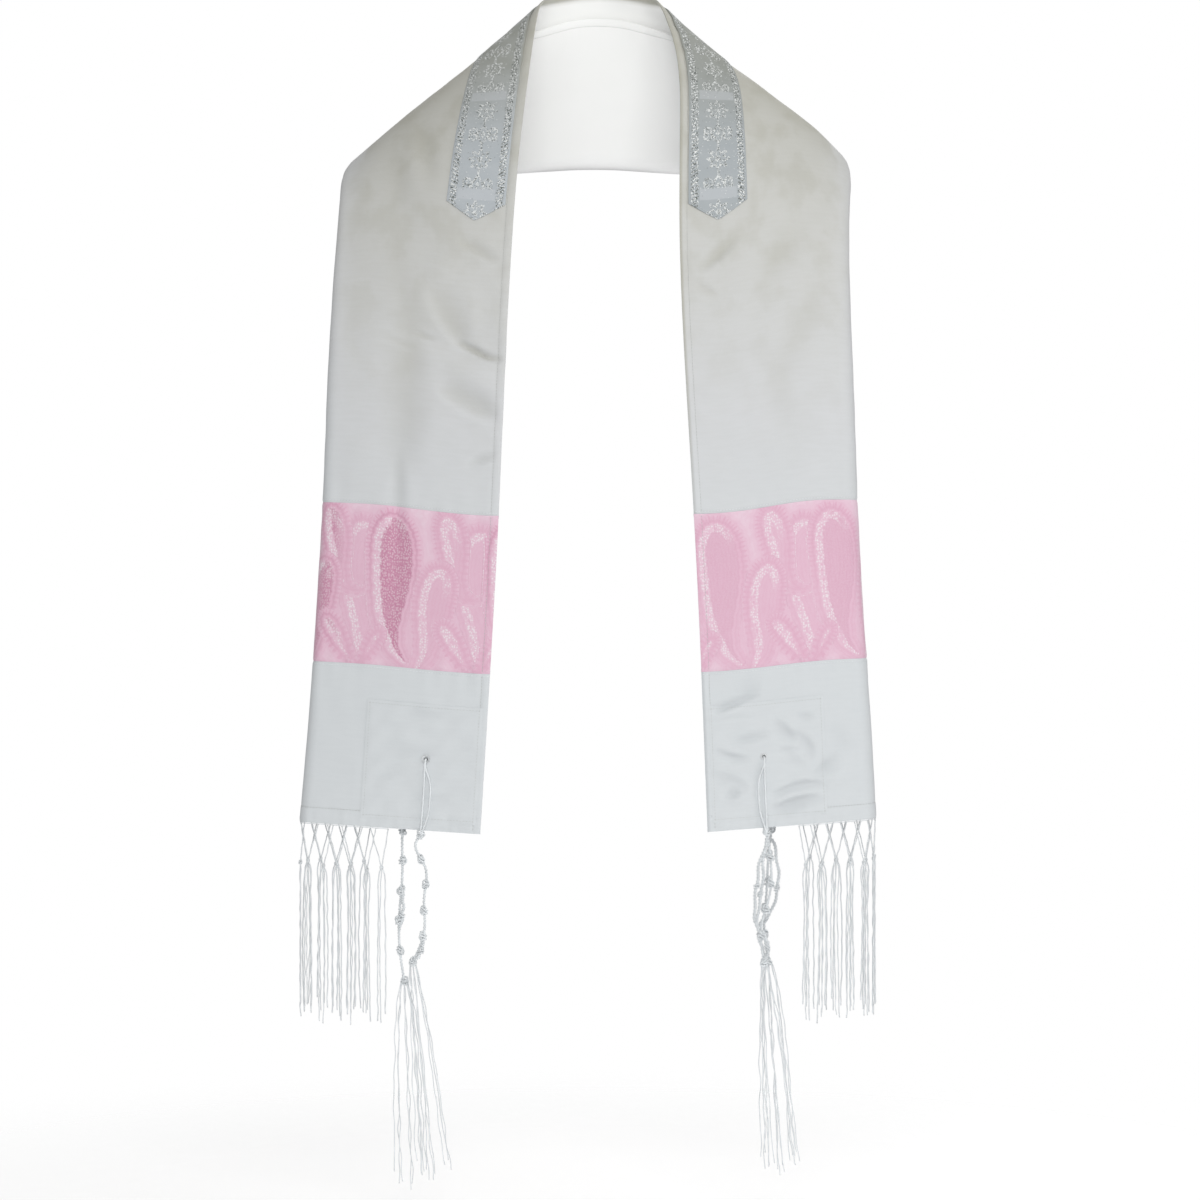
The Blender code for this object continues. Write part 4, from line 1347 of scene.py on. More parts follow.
@dataclass
class Panel:
    """A panel of the shawl's own cloth, over both layers, with turned edges and pressed seams."""

    name: str
    start: float
    stop: float
    step_along: float
    step_across: float
    hem: bool = False
    wall: float = 0.0005
    turn_in: float = 0.0068
    hem_depth: float = 0.0140
    edge_swell: float = 0.00035
    rounding: float = 0.0005
    stitch_dip: float = 0.0004
    hem_dip: float = 0.00045
    seam_dip: float = 0.00055
    soft_step: float = 0.0012
    tuck_steps: tuple[float, ...] = (0.0003, 0.0008, 0.0018, 0.0030)
    tuck_drop: float = 0.0010
    tucked: tuple[float, ...] = ()
    plain_to: float = 0.0
    plain_step: float = 0.0052

    def grid(self, drape: Drape) -> tuple[Array, Array]:
        """Lays out the panel's points, closer together where the sewing is.

        Args:
            drape: How the cloth hangs.

        Returns:
            Their places along and across the cut.
        """
        low, high = min(self.start, self.stop), max(self.start, self.stop)
        marks = np.array(SEAM_MARKS)
        foot = np.array(HEM_MARKS) if self.hem else marks
        ends = (low + marks, high - foot) if self.stop > 0 else (low + foot, high - marks)
        tucks = []
        for place in self.tucked:
            outwards = math.copysign(1, place - (low + high) / 2)
            tucks.extend(place + outwards * step for step in self.tuck_steps)
        inner = spread(low + foot[-1] * 1.3, high - foot[-1] * 1.3, self.step_along)
        if self.plain_to:
            plain = spread(-self.plain_to, self.plain_to, self.plain_step)
            inner = joined(inner[np.abs(inner) > self.plain_to + self.step_along / 2], plain)
        alongs = joined(inner, *ends, tucks)
        edge, width = np.array(EDGE_MARKS), drape.cut.width
        inner = spread(edge[-1] * 1.3, width - edge[-1] * 1.3, self.step_across)
        shares = joined(edge, inner, width - edge)
        along = np.repeat(alongs[:, None], len(shares), axis=1)
        stretch = np.maximum(drape.end(along) - width, 0)
        across = shares[None, :] + stretch * eased((shares[None, :] / width - 0.3) / 0.4)
        return along, across

    def lift(self, drape: Drape, along: Array, across: Array) -> tuple[Array, Array]:
        """The relief of the turned edges, the hem and the seams.

        Args:
            drape: How the cloth hangs.
            along: The points' places along the cut.
            across: Their places across it.

        Returns:
            How far the outer face stands off the drape, and how thick the cloth is there.
        """
        edge = np.minimum(across, drape.end(along) - across)
        doubled = 1 - eased((edge - self.turn_in) / self.soft_step)
        lift = self.edge_swell * doubled - self.stitch_dip * bump(edge - self.turn_in, 0.0009)
        lift = lift - self.rounding * bump(edge, 0.0010)
        for place in (self.start, self.stop):
            if abs(place) < drape.cut.half_length:
                lift = lift - self.seam_dip * bump(along - place, 0.0015)
        for place in self.tucked:
            beyond = (along - place) * math.copysign(1, place - (self.start + self.stop) / 2)
            lift = lift - self.tuck_drop * eased(beyond / 0.0004)
        if self.hem:
            above = drape.cut.half_length - np.abs(along)
            folded = 1 - eased((above - self.hem_depth) / self.soft_step)
            lift = lift + self.edge_swell * folded * (1 - doubled)
            lift = lift - self.hem_dip * bump(above - self.hem_depth, 0.0009)
            lift = lift - self.rounding * bump(above, 0.001)
            doubled = np.maximum(doubled, folded)
        return lift, self.wall * (1 + doubled)

    def build(self, drape: Drape) -> Piece:
        """Makes the panel's shell.

        Args:
            drape: How the cloth hangs.

        Returns:
            The shell, with the attributes that the satin reads.
        """
        along, across = self.grid(drape)
        lift, wall = self.lift(drape, along, across)
        piece = laid(self.name, drape, (along, across), lift, lift - wall)
        # Painted light: the faces round the nape that show through the neck opening are painted near white
        # and glow faintly.
        nape = 1 - eased((np.abs(along) - 0.07) / 0.06)
        rear = eased((across - 0.170) / 0.020)
        paint(piece, "reverse", nape * rear, nape * eased((across - 0.006) / 0.006))
        # Painted shade: where creases press the cloth in, and over the tops of the shoulders on the front
        # layer, stronger on the left and uneven.
        place = drape.place(along, across, lift)
        over = bump(place[..., 1] + 0.010, 0.017) * eased((np.abs(place[..., 0]) - 0.09) / 0.06)
        over = over * (across < drape.cut.width / 2) * np.where(along < 0, 1.0, 0.9)
        over = over * (0.8 + 0.2 * swell(along, across, 0.040, 5))
        paint(piece, "hollow", np.clip(drape.pressed(along, across) + over, 0, 1))
        return piece


@dataclass(frozen=True)
class Boteh:
    """A paisley figure: a full round head that narrows to a bent tip."""

    across: float
    drop: float
    size: float
    turn: float
    flip: int
    tone: float

    # Places down the figure's middle line and its half width there, at size 1, tip upwards.
    SPINE = (
        (0.00, 0.02, 0.000),
        (0.00, 0.09, 0.105),
        (0.00, 0.25, 0.180),
        (-0.02, 0.46, 0.170),
        (-0.05, 0.68, 0.130),
        (-0.03, 0.86, 0.088),
        (0.06, 0.98, 0.054),
        (0.16, 1.00, 0.028),
        (0.22, 0.94, 0.008),
    )

    def spine(self) -> tuple[Array, Array]:
        """Points down the middle line, as (across, drop), and the half width at each."""
        table = np.array(self.SPINE)
        knots = lengths(table[:, :2])
        fine = smooth(knots, table, np.linspace(0, knots[-1], 60)) * self.size
        x, y = fine[:, 0] * self.flip, -(fine[:, 1] - 0.5 * self.size)
        angle = math.radians(self.turn)
        cosine, sine = math.cos(angle), math.sin(angle)
        turned = np.stack([x * cosine - y * sine, x * sine + y * cosine], axis=1)
        return turned + (self.across, self.drop), np.clip(fine[:, 2], 0.0002, None)

    def read(self, across: Array, drop: Array) -> tuple[Array, Array]:
        """Measures places against the figure.

        Args:
            across: Places to the right.
            drop: Places down.

        Returns:
            How deep in the figure each lies, below 0 outside, and how far round its edge.
        """
        spine, half = self.spine()
        depth = np.full(across.shape, -1.0)
        nearest = np.zeros(across.shape, int)
        for index, (place, radius) in enumerate(zip(spine, half)):
            inside = radius - np.hypot(across - place[0], drop - place[1])
            better = inside > depth
            depth[better] = inside[better]
            nearest[better] = index
        run = lengths(spine)
        ahead = unit(np.gradient(spine, axis=0))[nearest]
        off = np.stack([across - spine[nearest, 0], drop - spine[nearest, 1]], axis=-1)
        side = np.sign(ahead[..., 0] * off[..., 1] - ahead[..., 1] * off[..., 0])
        backwards = -(off * ahead).sum(axis=-1) / np.clip(np.linalg.norm(off, axis=-1), 1e-6, None)
        return depth, side * (run[nearest] + half[nearest] * np.arccos(np.clip(backwards, -1, 1)))


# The band's pattern is the same way round on both fronts, and repeats to the right.
BAND_REPEAT = 0.1085
FIGURES = (
    Boteh(0.101, 0.082, 0.140, 181, 1, 0.0),
    Boteh(0.026, 0.074, 0.138, 174, -1, 1.0),
    Boteh(0.080, 0.040, 0.084, 164, -1, 0.08),
    Boteh(0.058, 0.100, 0.108, 192, 1, 0.10),
    Boteh(0.086, 0.122, 0.060, 140, -1, 0.05),
    Boteh(0.004, 0.128, 0.044, 215, 1, 0.05),
)


@dataclass
class BrocadeBand(Panel):
    """A brocade band, with the paisley's depth, its way round and its tone at each point."""

    shift: float = 0.0
    tone: float = 1.0

    def build(self, drape: Drape) -> Piece:
        """Makes the band's shell and lays the figures out on it.

        Args:
            drape: How the cloth hangs.

        Returns:
            The shell, with the attributes that the brocade reads.
        """
        piece = super().build(drape)
        along, across = self.grid(drape)
        drop = np.abs(along) - drape.cut.band_top
        depth = np.full(along.shape, -0.02)
        ring, tone = np.zeros(along.shape), np.zeros(along.shape)
        rim = -0.0016
        rightwards = across * math.copysign(1, self.start)
        for number in range(-4, 5):
            for figure in FIGURES:
                moved = rightwards - (number * BAND_REPEAT + self.shift)
                if np.abs(moved - figure.across).min() > figure.size:
                    continue
                deep, way = figure.read(moved, drop)
                over = (deep > rim) | (deep > depth)
                depth[over], ring[over], tone[over] = deep[over], way[over], figure.tone * self.tone
        # Painted shade: the figures along the front's fold are darkened as much as the main one.
        tone += self.tone * 0.8 * bump(across - 0.155, 0.012) * (depth > 0)
        for name, values in (("depth", depth), ("ring", ring), ("tone", np.clip(tone, 0, 1))):
            paint(piece, name, values)
        return piece


def eyelet_cutter(middle: Array, out: Array) -> Piece:
    """A short rod through the cloth where an eyelet is.

    Args:
        middle: The eyelet's middle.
        out: The direction straight out of the cloth.

    Returns:
        The rod, which isn't rendered.
    """
    shape = bmesh.new()
    radius = CUT.eyelet_radius
    sizes = {"segments": 20, "radius1": radius, "radius2": radius, "depth": 0.010}
    bmesh.ops.create_cone(shape, cap_ends=True, **sizes)
    mesh = bpy.data.meshes.new("eyelet_cutter")
    shape.to_mesh(mesh)
    shape.free()
    cutter = add_object("eyelet_cutter", mesh)
    cutter.rotation_mode = "QUATERNION"
    cutter.rotation_quaternion = Vector(out).to_track_quat("Z", "Y")
    cutter.location = middle
    cutter.hide_render = True
    bpy.context.view_layer.update()
    return cutter


def pierced(piece: Piece, drape: Drape, side: Side, layer: Layer) -> Piece:
    """Cuts a corner's eyelet through a cloth.

    Args:
        piece: The cloth, which is replaced.
        drape: How the cloth hangs.
        side: The corner's side.
        layer: The corner's layer.

    Returns:
        The cut cloth, under the same name.
    """
    middle, out, _ = drape.axes(*CUT.eyelet(side, layer))
    cutter = eyelet_cutter(middle, out)
    cut = piece.modifiers.new("eyelet", "BOOLEAN")
    cut.object = cutter
    cut.operation = "DIFFERENCE"
    name = piece.name
    piece.name = f"{name}_uncut"
    piece = settled(piece, name)
    bpy.data.objects.remove(cutter)
    return piece


@dataclass
class ShawlCloth:
    """The shawl's own panels: the long body, two brocade bands and two end panels."""

    cloths: Cloths
    seam_gap: float = 0.00005

    def _dress(self, panel: Panel, finish: Material, slot: str) -> None:
        """Builds a panel, gives it its material and fastens it to the shawl.

        Args:
            panel: The panel.
            finish: Its material.
            slot: Its material slot, which is not used.
        """
        piece = panel.build(self.cloths.drape)
        piece.data.materials.append(finish)
        fasten(piece, slot, panel.name)

    def build(self) -> None:
        """Makes all five panels."""
        made = self.cloths
        top, foot, end = CUT.band_top, CUT.band_foot, CUT.half_length
        gap = self.seam_gap
        ends = (-top + gap, top - gap)
        body = Panel("shawl_body", *ends, 0.0026, 0.0031, tucked=ends, plain_to=0.33)
        self._dress(body, made.satin, "satin")
        for side in Side:
            spans = sorted(side.value * place for place in (top + gap, foot - gap))
            # The left band's figures are darker than the right's, partly in their own tone and partly as
            # painted shade.
            shift, tone = (-0.0084, 1.0) if side is Side.LEFT else (-0.0020, 0.22)
            band = BrocadeBand(f"band_{side.word}", *spans, 0.0015, 0.0015, shift=shift, tone=tone)
            self._dress(band, made.brocade, "pink_brocade")
            spans = sorted(side.value * place for place in (foot + gap, end))
            seam = side.value * (foot + gap)
            panel = Panel(f"end_{side.word}", *spans, 0.0022, 0.0018, hem=True, tucked=(seam,))
            piece = panel.build(made.drape)
            piece.data.materials.append(made.satin)
            for layer in Layer:
                piece = pierced(piece, made.drape, side, layer)
            fasten(piece, "satin", panel.name)


@dataclass
class Atara:
    """The neckband: silver brocade along the front neck edge, with a point at each end."""

    cloths: Cloths
    lift: float = 0.0014
    foot: float = 0.0004
    step: float = 0.0022

    @staticmethod
    def _reach(off: Array) -> Array:
        """How far along the cut it goes, at distances from its edge: most in the middle."""
        aside = np.abs(2 * off / CUT.atara_width - 1)
        return CUT.atara_tip - (CUT.atara_tip - CUT.atara_corner) * aside

    def _outline(self) -> tuple[Array, Array]:
        """The places along and across the cut of its points."""
        edge = np.array(TRIM_MARKS)
        inner = spread(0.0046, CUT.atara_width - 0.0046, self.step)
        offs = joined(edge, inner, CUT.atara_width - edge)
        ends = 1 - edge / CUT.atara_corner
        rows = joined(-ends, spread(-0.985, 0.985, self.step / CUT.atara_corner), ends)
        across = np.repeat((CUT.atara_inset + offs)[None, :], len(rows), axis=0)
        return rows[:, None] * self._reach(offs)[None, :], across

    def build(self) -> None:
        """Makes the neckband and fastens it to the shawl."""
        along, across = self._outline()
        off = across - CUT.atara_inset
        beyond = self._reach(off) - np.abs(along)
        edge = np.minimum(np.minimum(off, CUT.atara_width - off), beyond)
        lift = self.lift - 0.0006 * bump(edge, 0.0008) - 0.0003 * bump(edge - 0.0022, 0.0007)
        foot = np.full(along.shape, self.foot)
        piece = laid("atara", self.cloths.drape, (along, across), lift, foot)
        piece.data.materials.append(self.cloths.silver)
        fasten(piece, "silver_brocade", "atara")


@dataclass
class CornerPatch:
    """A square of satin that strengthens a corner, with its edges turned under."""

    cloths: Cloths
    side: Side
    layer: Layer
    lift: float = 0.00065
    foot: float = 0.00015

    def build(self) -> None:
        """Makes the patch, cuts its eyelet and fastens it to the shawl."""
        edge = np.array(TRIM_MARKS)
        offs = joined(edge, spread(0.0045, CUT.patch_side - 0.0045, 0.0019), CUT.patch_side - edge)
        low = CUT.half_length - CUT.patch_raise
        alongs = np.sort(self.side.value * (low - offs))
        distances = CUT.patch_inset + offs
        acrosses = np.sort(CUT.across(distances, self.layer))
        along, across = np.meshgrid(alongs, acrosses, indexing="ij")
        down = low - np.abs(along)
        aside = (across if self.layer is Layer.FRONT else CUT.width - across) - CUT.patch_inset
        sides = (down, CUT.patch_side - down, aside, CUT.patch_side - aside)
        near = np.minimum.reduce(sides)
        lift = self.lift - 0.00025 * bump(near, 0.0012) - 0.00015 * bump(near - 0.0028, 0.0010)
        drape, foot = self.cloths.drape, np.full(along.shape, self.foot)
        name = f"patch_{self.side.word}_{self.layer.value}"
        piece = laid(name, drape, (along, across), lift, foot)
        piece.data.materials.append(self.cloths.satin)
        # Painted shade where creases press the patch in.
        paint(piece, "hollow", drape.pressed(along, across))
        piece = pierced(piece, drape, self.side, self.layer)
        fasten(piece, "satin", name)


# Sewing, fringe and tassels


@dataclass
class Sewing:
    """All rows of stitches that show."""

    cloths: Cloths
    lift: float = 0.00012
    edge_inset: float = 0.0068
    hem_inset: float = 0.0139
    hem_clear: float = 0.0075
    seam_inset: float = 0.0022
    seam_clear: float = 0.002
    atara_inset: float = 0.0022
    atara_lift: float = 0.0013
    patch_inset: float = 0.0028
    patch_lift: float = 0.00058
    eyelet_lift: float = 0.00060

    def _add(self, name: str, slot: str, rows: list[Array], thread: Material, **sizes: Any) -> None:
        """Makes one piece of several rows."""
        guide = curves(f"{name}_guide", rows)
        fasten(self.cloths.stitches.make(name, guide, Material=thread, **sizes), slot)

    def _across(self, along: float, clear: float) -> Array:
        """A row right across the cloth, but for the same bit at each end."""
        across = np.linspace(clear, CUT.width - clear, 220)
        return self.cloths.drape.place(along, across, self.lift)

    def _edges(self) -> list[Array]:
        """The rows along both neck edges and the hems."""
        rows = []
        drape = self.cloths.drape
        end = CUT.half_length - self.seam_clear
        along = np.linspace(-end, end, 900)
        for across in (np.full(along.shape, self.edge_inset), drape.end(along) - self.edge_inset):
            for keep in self._clear_spans(along):
                rows.append(drape.place(along[keep], across[keep], self.lift))
        hem = CUT.half_length - self.hem_inset
        return rows + [self._across(side.value * hem, self.hem_clear) for side in Side]

    def _clear_spans(self, along: Array) -> list[Array]:
        """Which places of a neck edge lie between two seams, for each stretch of it."""
        half = (CUT.band_top, CUT.band_foot, CUT.half_length)
        marks = (*(-mark for mark in reversed(half)), *half)
        clear = self.seam_clear
        return [(along > low + clear) & (along < high - clear) for low, high in zip(marks, marks[1:])]

    def _band_seams(self) -> list[Array]:
        """The rows beside the seams of the brocade bands."""
        places = (CUT.band_top - self.seam_inset, CUT.band_foot + self.seam_inset)
        return [self._across(side.value * at, self.seam_clear) for side in Side for at in places]

    def _atara_rows(self) -> list[Array]:
        """The row round the neckband."""
        inset = self.atara_inset
        near, far = CUT.atara_inset + inset, CUT.atara_inset + CUT.atara_width - inset
        middle = (near + far) / 2
        corner, tip = CUT.atara_corner - inset * 0.7, CUT.atara_tip - inset
        round_ = ((-corner, near), (corner, near), (tip, middle), (corner, far), (-corner, far))
        path = ((-tip, middle), *round_, (-tip, middle))
        rows = []
        for (low, first), (high, second) in zip(path, path[1:]):
            count = max(8, int(math.hypot(high - low, second - first) / 0.002))
            line = np.linspace((low, first), (high, second), count)
            rows.append(self.cloths.drape.place(line[:, 0], line[:, 1], self.atara_lift))
        return rows

    def _patch_rows(self) -> list[Array]:
        """The rows round the corner patches."""
        rows = []
        inset = self.patch_inset
        low = CUT.half_length - CUT.patch_raise - inset
        high = CUT.half_length - CUT.patch_raise - CUT.patch_side + inset
        near, far = CUT.patch_inset + inset, CUT.patch_inset + CUT.patch_side - inset
        corners = [(low, near), (low, far), (high, far), (high, near), (low, near)]
        for side, layer in CORNERS:
            for start, stop in zip(corners, corners[1:]):
                line = np.linspace(start, stop, 60)
                along, across = side.value * line[:, 0], CUT.across(line[:, 1], layer)
                rows.append(self.cloths.drape.place(along, across, self.patch_lift))
        return rows

    def _eyelet_rows(self) -> list[Array]:
        """The rings of buttonhole stitch round the eyelets."""
        rows = []
        angles = np.linspace(0, 2 * math.pi, 41)
        reach = CUT.eyelet_radius - 0.0002
        for corner in CORNERS:
            along, across = CUT.eyelet(*corner)
            alongs, acrosses = along + reach * np.sin(angles), across + reach * np.cos(angles)
            rows.append(self.cloths.drape.place(alongs, acrosses, self.eyelet_lift))
        return rows

    def build(self) -> None:
        """Makes every row."""
        made = self.cloths
        seam = {"Pitch": 0.0028, "Length": 0.0021, "Radius": 0.00020}
        small = {"Pitch": 0.0028, "Length": 0.0020, "Radius": 0.00014}
        close = {"Pitch": 0.0024, "Length": 0.0018, "Radius": 0.00022}
        ring = {"Pitch": 0.00042, "Length": 0.0040, "Radius": 0.00034, "Lean": math.pi / 2}
        self._add("edge_stitching", "satin", self._edges(), made.seam_thread, Seed=1, **seam)
        self._add("band_stitching", "pink_brocade", self._band_seams(), made.thread, Seed=2, **seam)
        self._add("patch_stitching", "satin", self._patch_rows(), made.seam_thread, Seed=3, **small)
        self._add("atara_stitching", "silver_brocade", self._atara_rows(), made.lurex, Seed=4, **close)
        self._add("eyelet_stitching", "satin", self._eyelet_rows(), made.eyelet_thread, Seed=5, **ring)


def coil(path: Array, radius: float, pitch: float, per_turn: int, start: float) -> Array:
    """A helix round a path.

    Args:
        path: The line that it is wound on.
        radius: Its distance from the line.
        pitch: The length of a turn along the line.
        per_turn: Its points on each turn.
        start: The angle at which it starts.

    Returns:
        Its points.
    """
    run = lengths(path)
    count = max(4, int(run[-1] / pitch * per_turn))
    at = np.linspace(0, run[-1], count)
    middle = between(at, run, path)
    ahead = unit(np.gradient(middle, axis=0))
    aside = unit(np.cross(ahead, (0.0, 1.0, 0.0)))
    across = np.cross(ahead, aside)
    angle = (start + at / pitch * 2 * math.pi)[:, None]
    return middle + radius * (aside * np.cos(angle) + across * np.sin(angle))


def knot(middle: Array, radius: float, height: float, turn: float, tip: float = 0.0) -> Array:
    """A small tight knot: two leaning turns round a point.

    Args:
        middle: Its middle.
        radius: The turns' radius.
        height: The knot's height.
        turn: The direction in which it leans.
        tip: How far the whole knot is tipped about the X axis.

    Returns:
        The points of its thread.
    """
    at = np.linspace(0, 1, 26)
    angle = turn + at * 2.25 * 2 * math.pi
    lean = 0.45 * radius * np.sin(angle - turn + 0.8)
    reach = radius * (0.70 + 0.30 * np.sin(math.pi * at))
    x, y, z = reach * np.cos(angle), reach * np.sin(angle), (0.5 - at) * height + lean
    tipped = (x, y * math.cos(tip) - z * math.sin(tip), y * math.sin(tip) + z * math.cos(tip))
    return middle + np.stack(tipped, axis=1)


@dataclass
class ThreadWork:
    """Threads that make one piece: their paths, and each one's share of the thread's radius."""

    cloths: Cloths
    paths: list[Array] = field(default_factory=list, init=False)
    shares: list[float] = field(default_factory=list, init=False)

    def _add(self, path: Array, share: float) -> None:
        """Keeps a thread's path and its share of the radius."""
        self.paths.append(path)
        self.shares.append(share)

    @staticmethod
    def _bend(line: Array, at: Array, paces: tuple[float, float], size: Array, random: Random) -> None:
        """Gives a line the small bends of thread, to both sides and forwards.

        Args:
            line: The line's points, which it moves.
            at: Each point's place down the line.
            paces: The least and most radians of a bend for each unit of at.
            size: How large the bends are at each point.
            random: The piece's random numbers.
        """
        for axis in (0, 1):
            phase, pace = random.uniform(0, 2 * math.pi, 3), random.uniform(*paces, 3)
            line[:, axis] += size * sum(np.sin(pace[k] * at + phase[k]) for k in range(3)) / 3

    def _spin(self, name: str, radius: float, twist: float) -> None:
        """Makes the piece of all its threads, in place of the node of that name.

        Args:
            name: The node's name.
            radius: The full thread's radius.
            twist: How far it turns along a metre, in radians.
        """
        guide = curves(f"{name}_guide", self.paths, self.shares)
        sizes = {"Radius": radius, "Plies": 3, "Twist": twist}
        piece = self.cloths.threads.make(name, guide, Material=self.cloths.thread, **sizes)
        fasten(piece, "threads", name)


@dataclass
class HemFringe(ThreadWork):
    """The knotted fringe along the folded hem: a lattice of threads, knots and hanging tails."""

    side: Side
    knots: int = 12
    knot_drop: float = 0.036
    splay: float = 0.0098
    tail: float = 0.136
    radius: float = 0.00086
    header: float = 0.0002
    bend_length: float = 0.0042

    def _spot(self, across: float, drop: float) -> Array:
        """A place below the hem, at a distance across the cut."""
        along = self.side.value * (CUT.half_length + 0.0006)
        return self.cloths.drape.place(along, across, -0.0008) - (0, 0, drop)

    def _strand(self, stops: Sequence[Array], share: float, slack: float, seed: int) -> None:
        """A thread through stops, with small bends.

        Args:
            stops: The places that it passes.
            share: Its share of the thread's radius.
            slack: How large its bends are.
            seed: Which bends.
        """
        random = np.random.default_rng(seed)
        knots = lengths(np.array(stops))
        at = np.linspace(0, knots[-1], max(8, int(knots[-1] / 0.0018)))
        line = smooth(knots, np.array(stops), at)
        self._bend(line, at / self.bend_length, (0.6, 1.8), slack * eased(at / 0.006), random)
        self._add(line, share)

    def build(self) -> None:
        """Makes the header cord, the lattice, the knots and the tails."""
        width = CUT.width - 2 * CUT.fringe_inset
        pitch = width / self.knots
        random = np.random.default_rng(11 + self.side.value)
        acrosses = CUT.fringe_inset + np.linspace(0, width, 120)
        self._add(np.array([self._spot(across, self.header) for across in acrosses]), 0.55)
        for number in range(self.knots):
            across = CUT.fringe_inset + pitch * (number + 0.5)
            tied = self._spot(across, self.knot_drop + 0.003 * math.sin(2.1 * number))
            tied = tied + random.uniform(-0.0008, 0.0008, 3)
            for turn in (-1, 1):
                reach = across + turn * (self.splay + random.uniform(-0.0010, 0.0010))
                reach = min(max(reach, CUT.fringe_inset), CUT.width - CUT.fringe_inset)
                root = self._spot(reach, self.header) + (0, turn * 0.0008, 0)
                seed = 100 * (self.side.value + 2) + number * 4 + turn
                self._strand([root, (root + tied) / 2, tied], 0.85, 0.00030, seed)
            turned, tip = random.uniform(0, 6), random.uniform(-0.5, 0.5)
            self._add(knot(tied, 0.0014, 0.0026, turned, tip), 0.85)
            self._tails(tied, number, pitch, random)
        self._spin(f"fringe_{self.side.word}", self.radius, 1300.0)

    def _tails(self, tied: Array, number: int, pitch: float, random: Random) -> None:
        """The tails below one knot.

        Args:
            tied: The knot's middle.
            number: Its number along the hem.
            pitch: The distance from knot to knot.
            random: The fringe's random numbers.
        """
        near, far = (self._spot(CUT.fringe_inset + pitch * (number + part), 0) for part in (0.1, 0.9))
        beside = unit((far - near) * (1, 1, 0))
        for turn, share in ((-1.0, 0.95), (0.15, 0.80), (1.0, 0.90)):
            end = self.tail + 0.006 * math.sin(3.3 * number + 2 * turn) + random.uniform(-0.006, 0.003)
            sway = beside * random.uniform(-0.0020, 0.0020)
            stops = [tied, tied + beside * turn * 0.0018 - (0, 0, 0.004)]
            for part in (0.15, 0.5, 1.0):
                drift = beside * turn * (0.0030 + 0.0004 * part) + sway * math.sin(3 * part)
                stops.append(tied + drift - (0, 0, end * part))
            self._strand(stops, share, 0.00045, 7000 + number * 9 + int(turn * 3) + 500 * self.side.value)


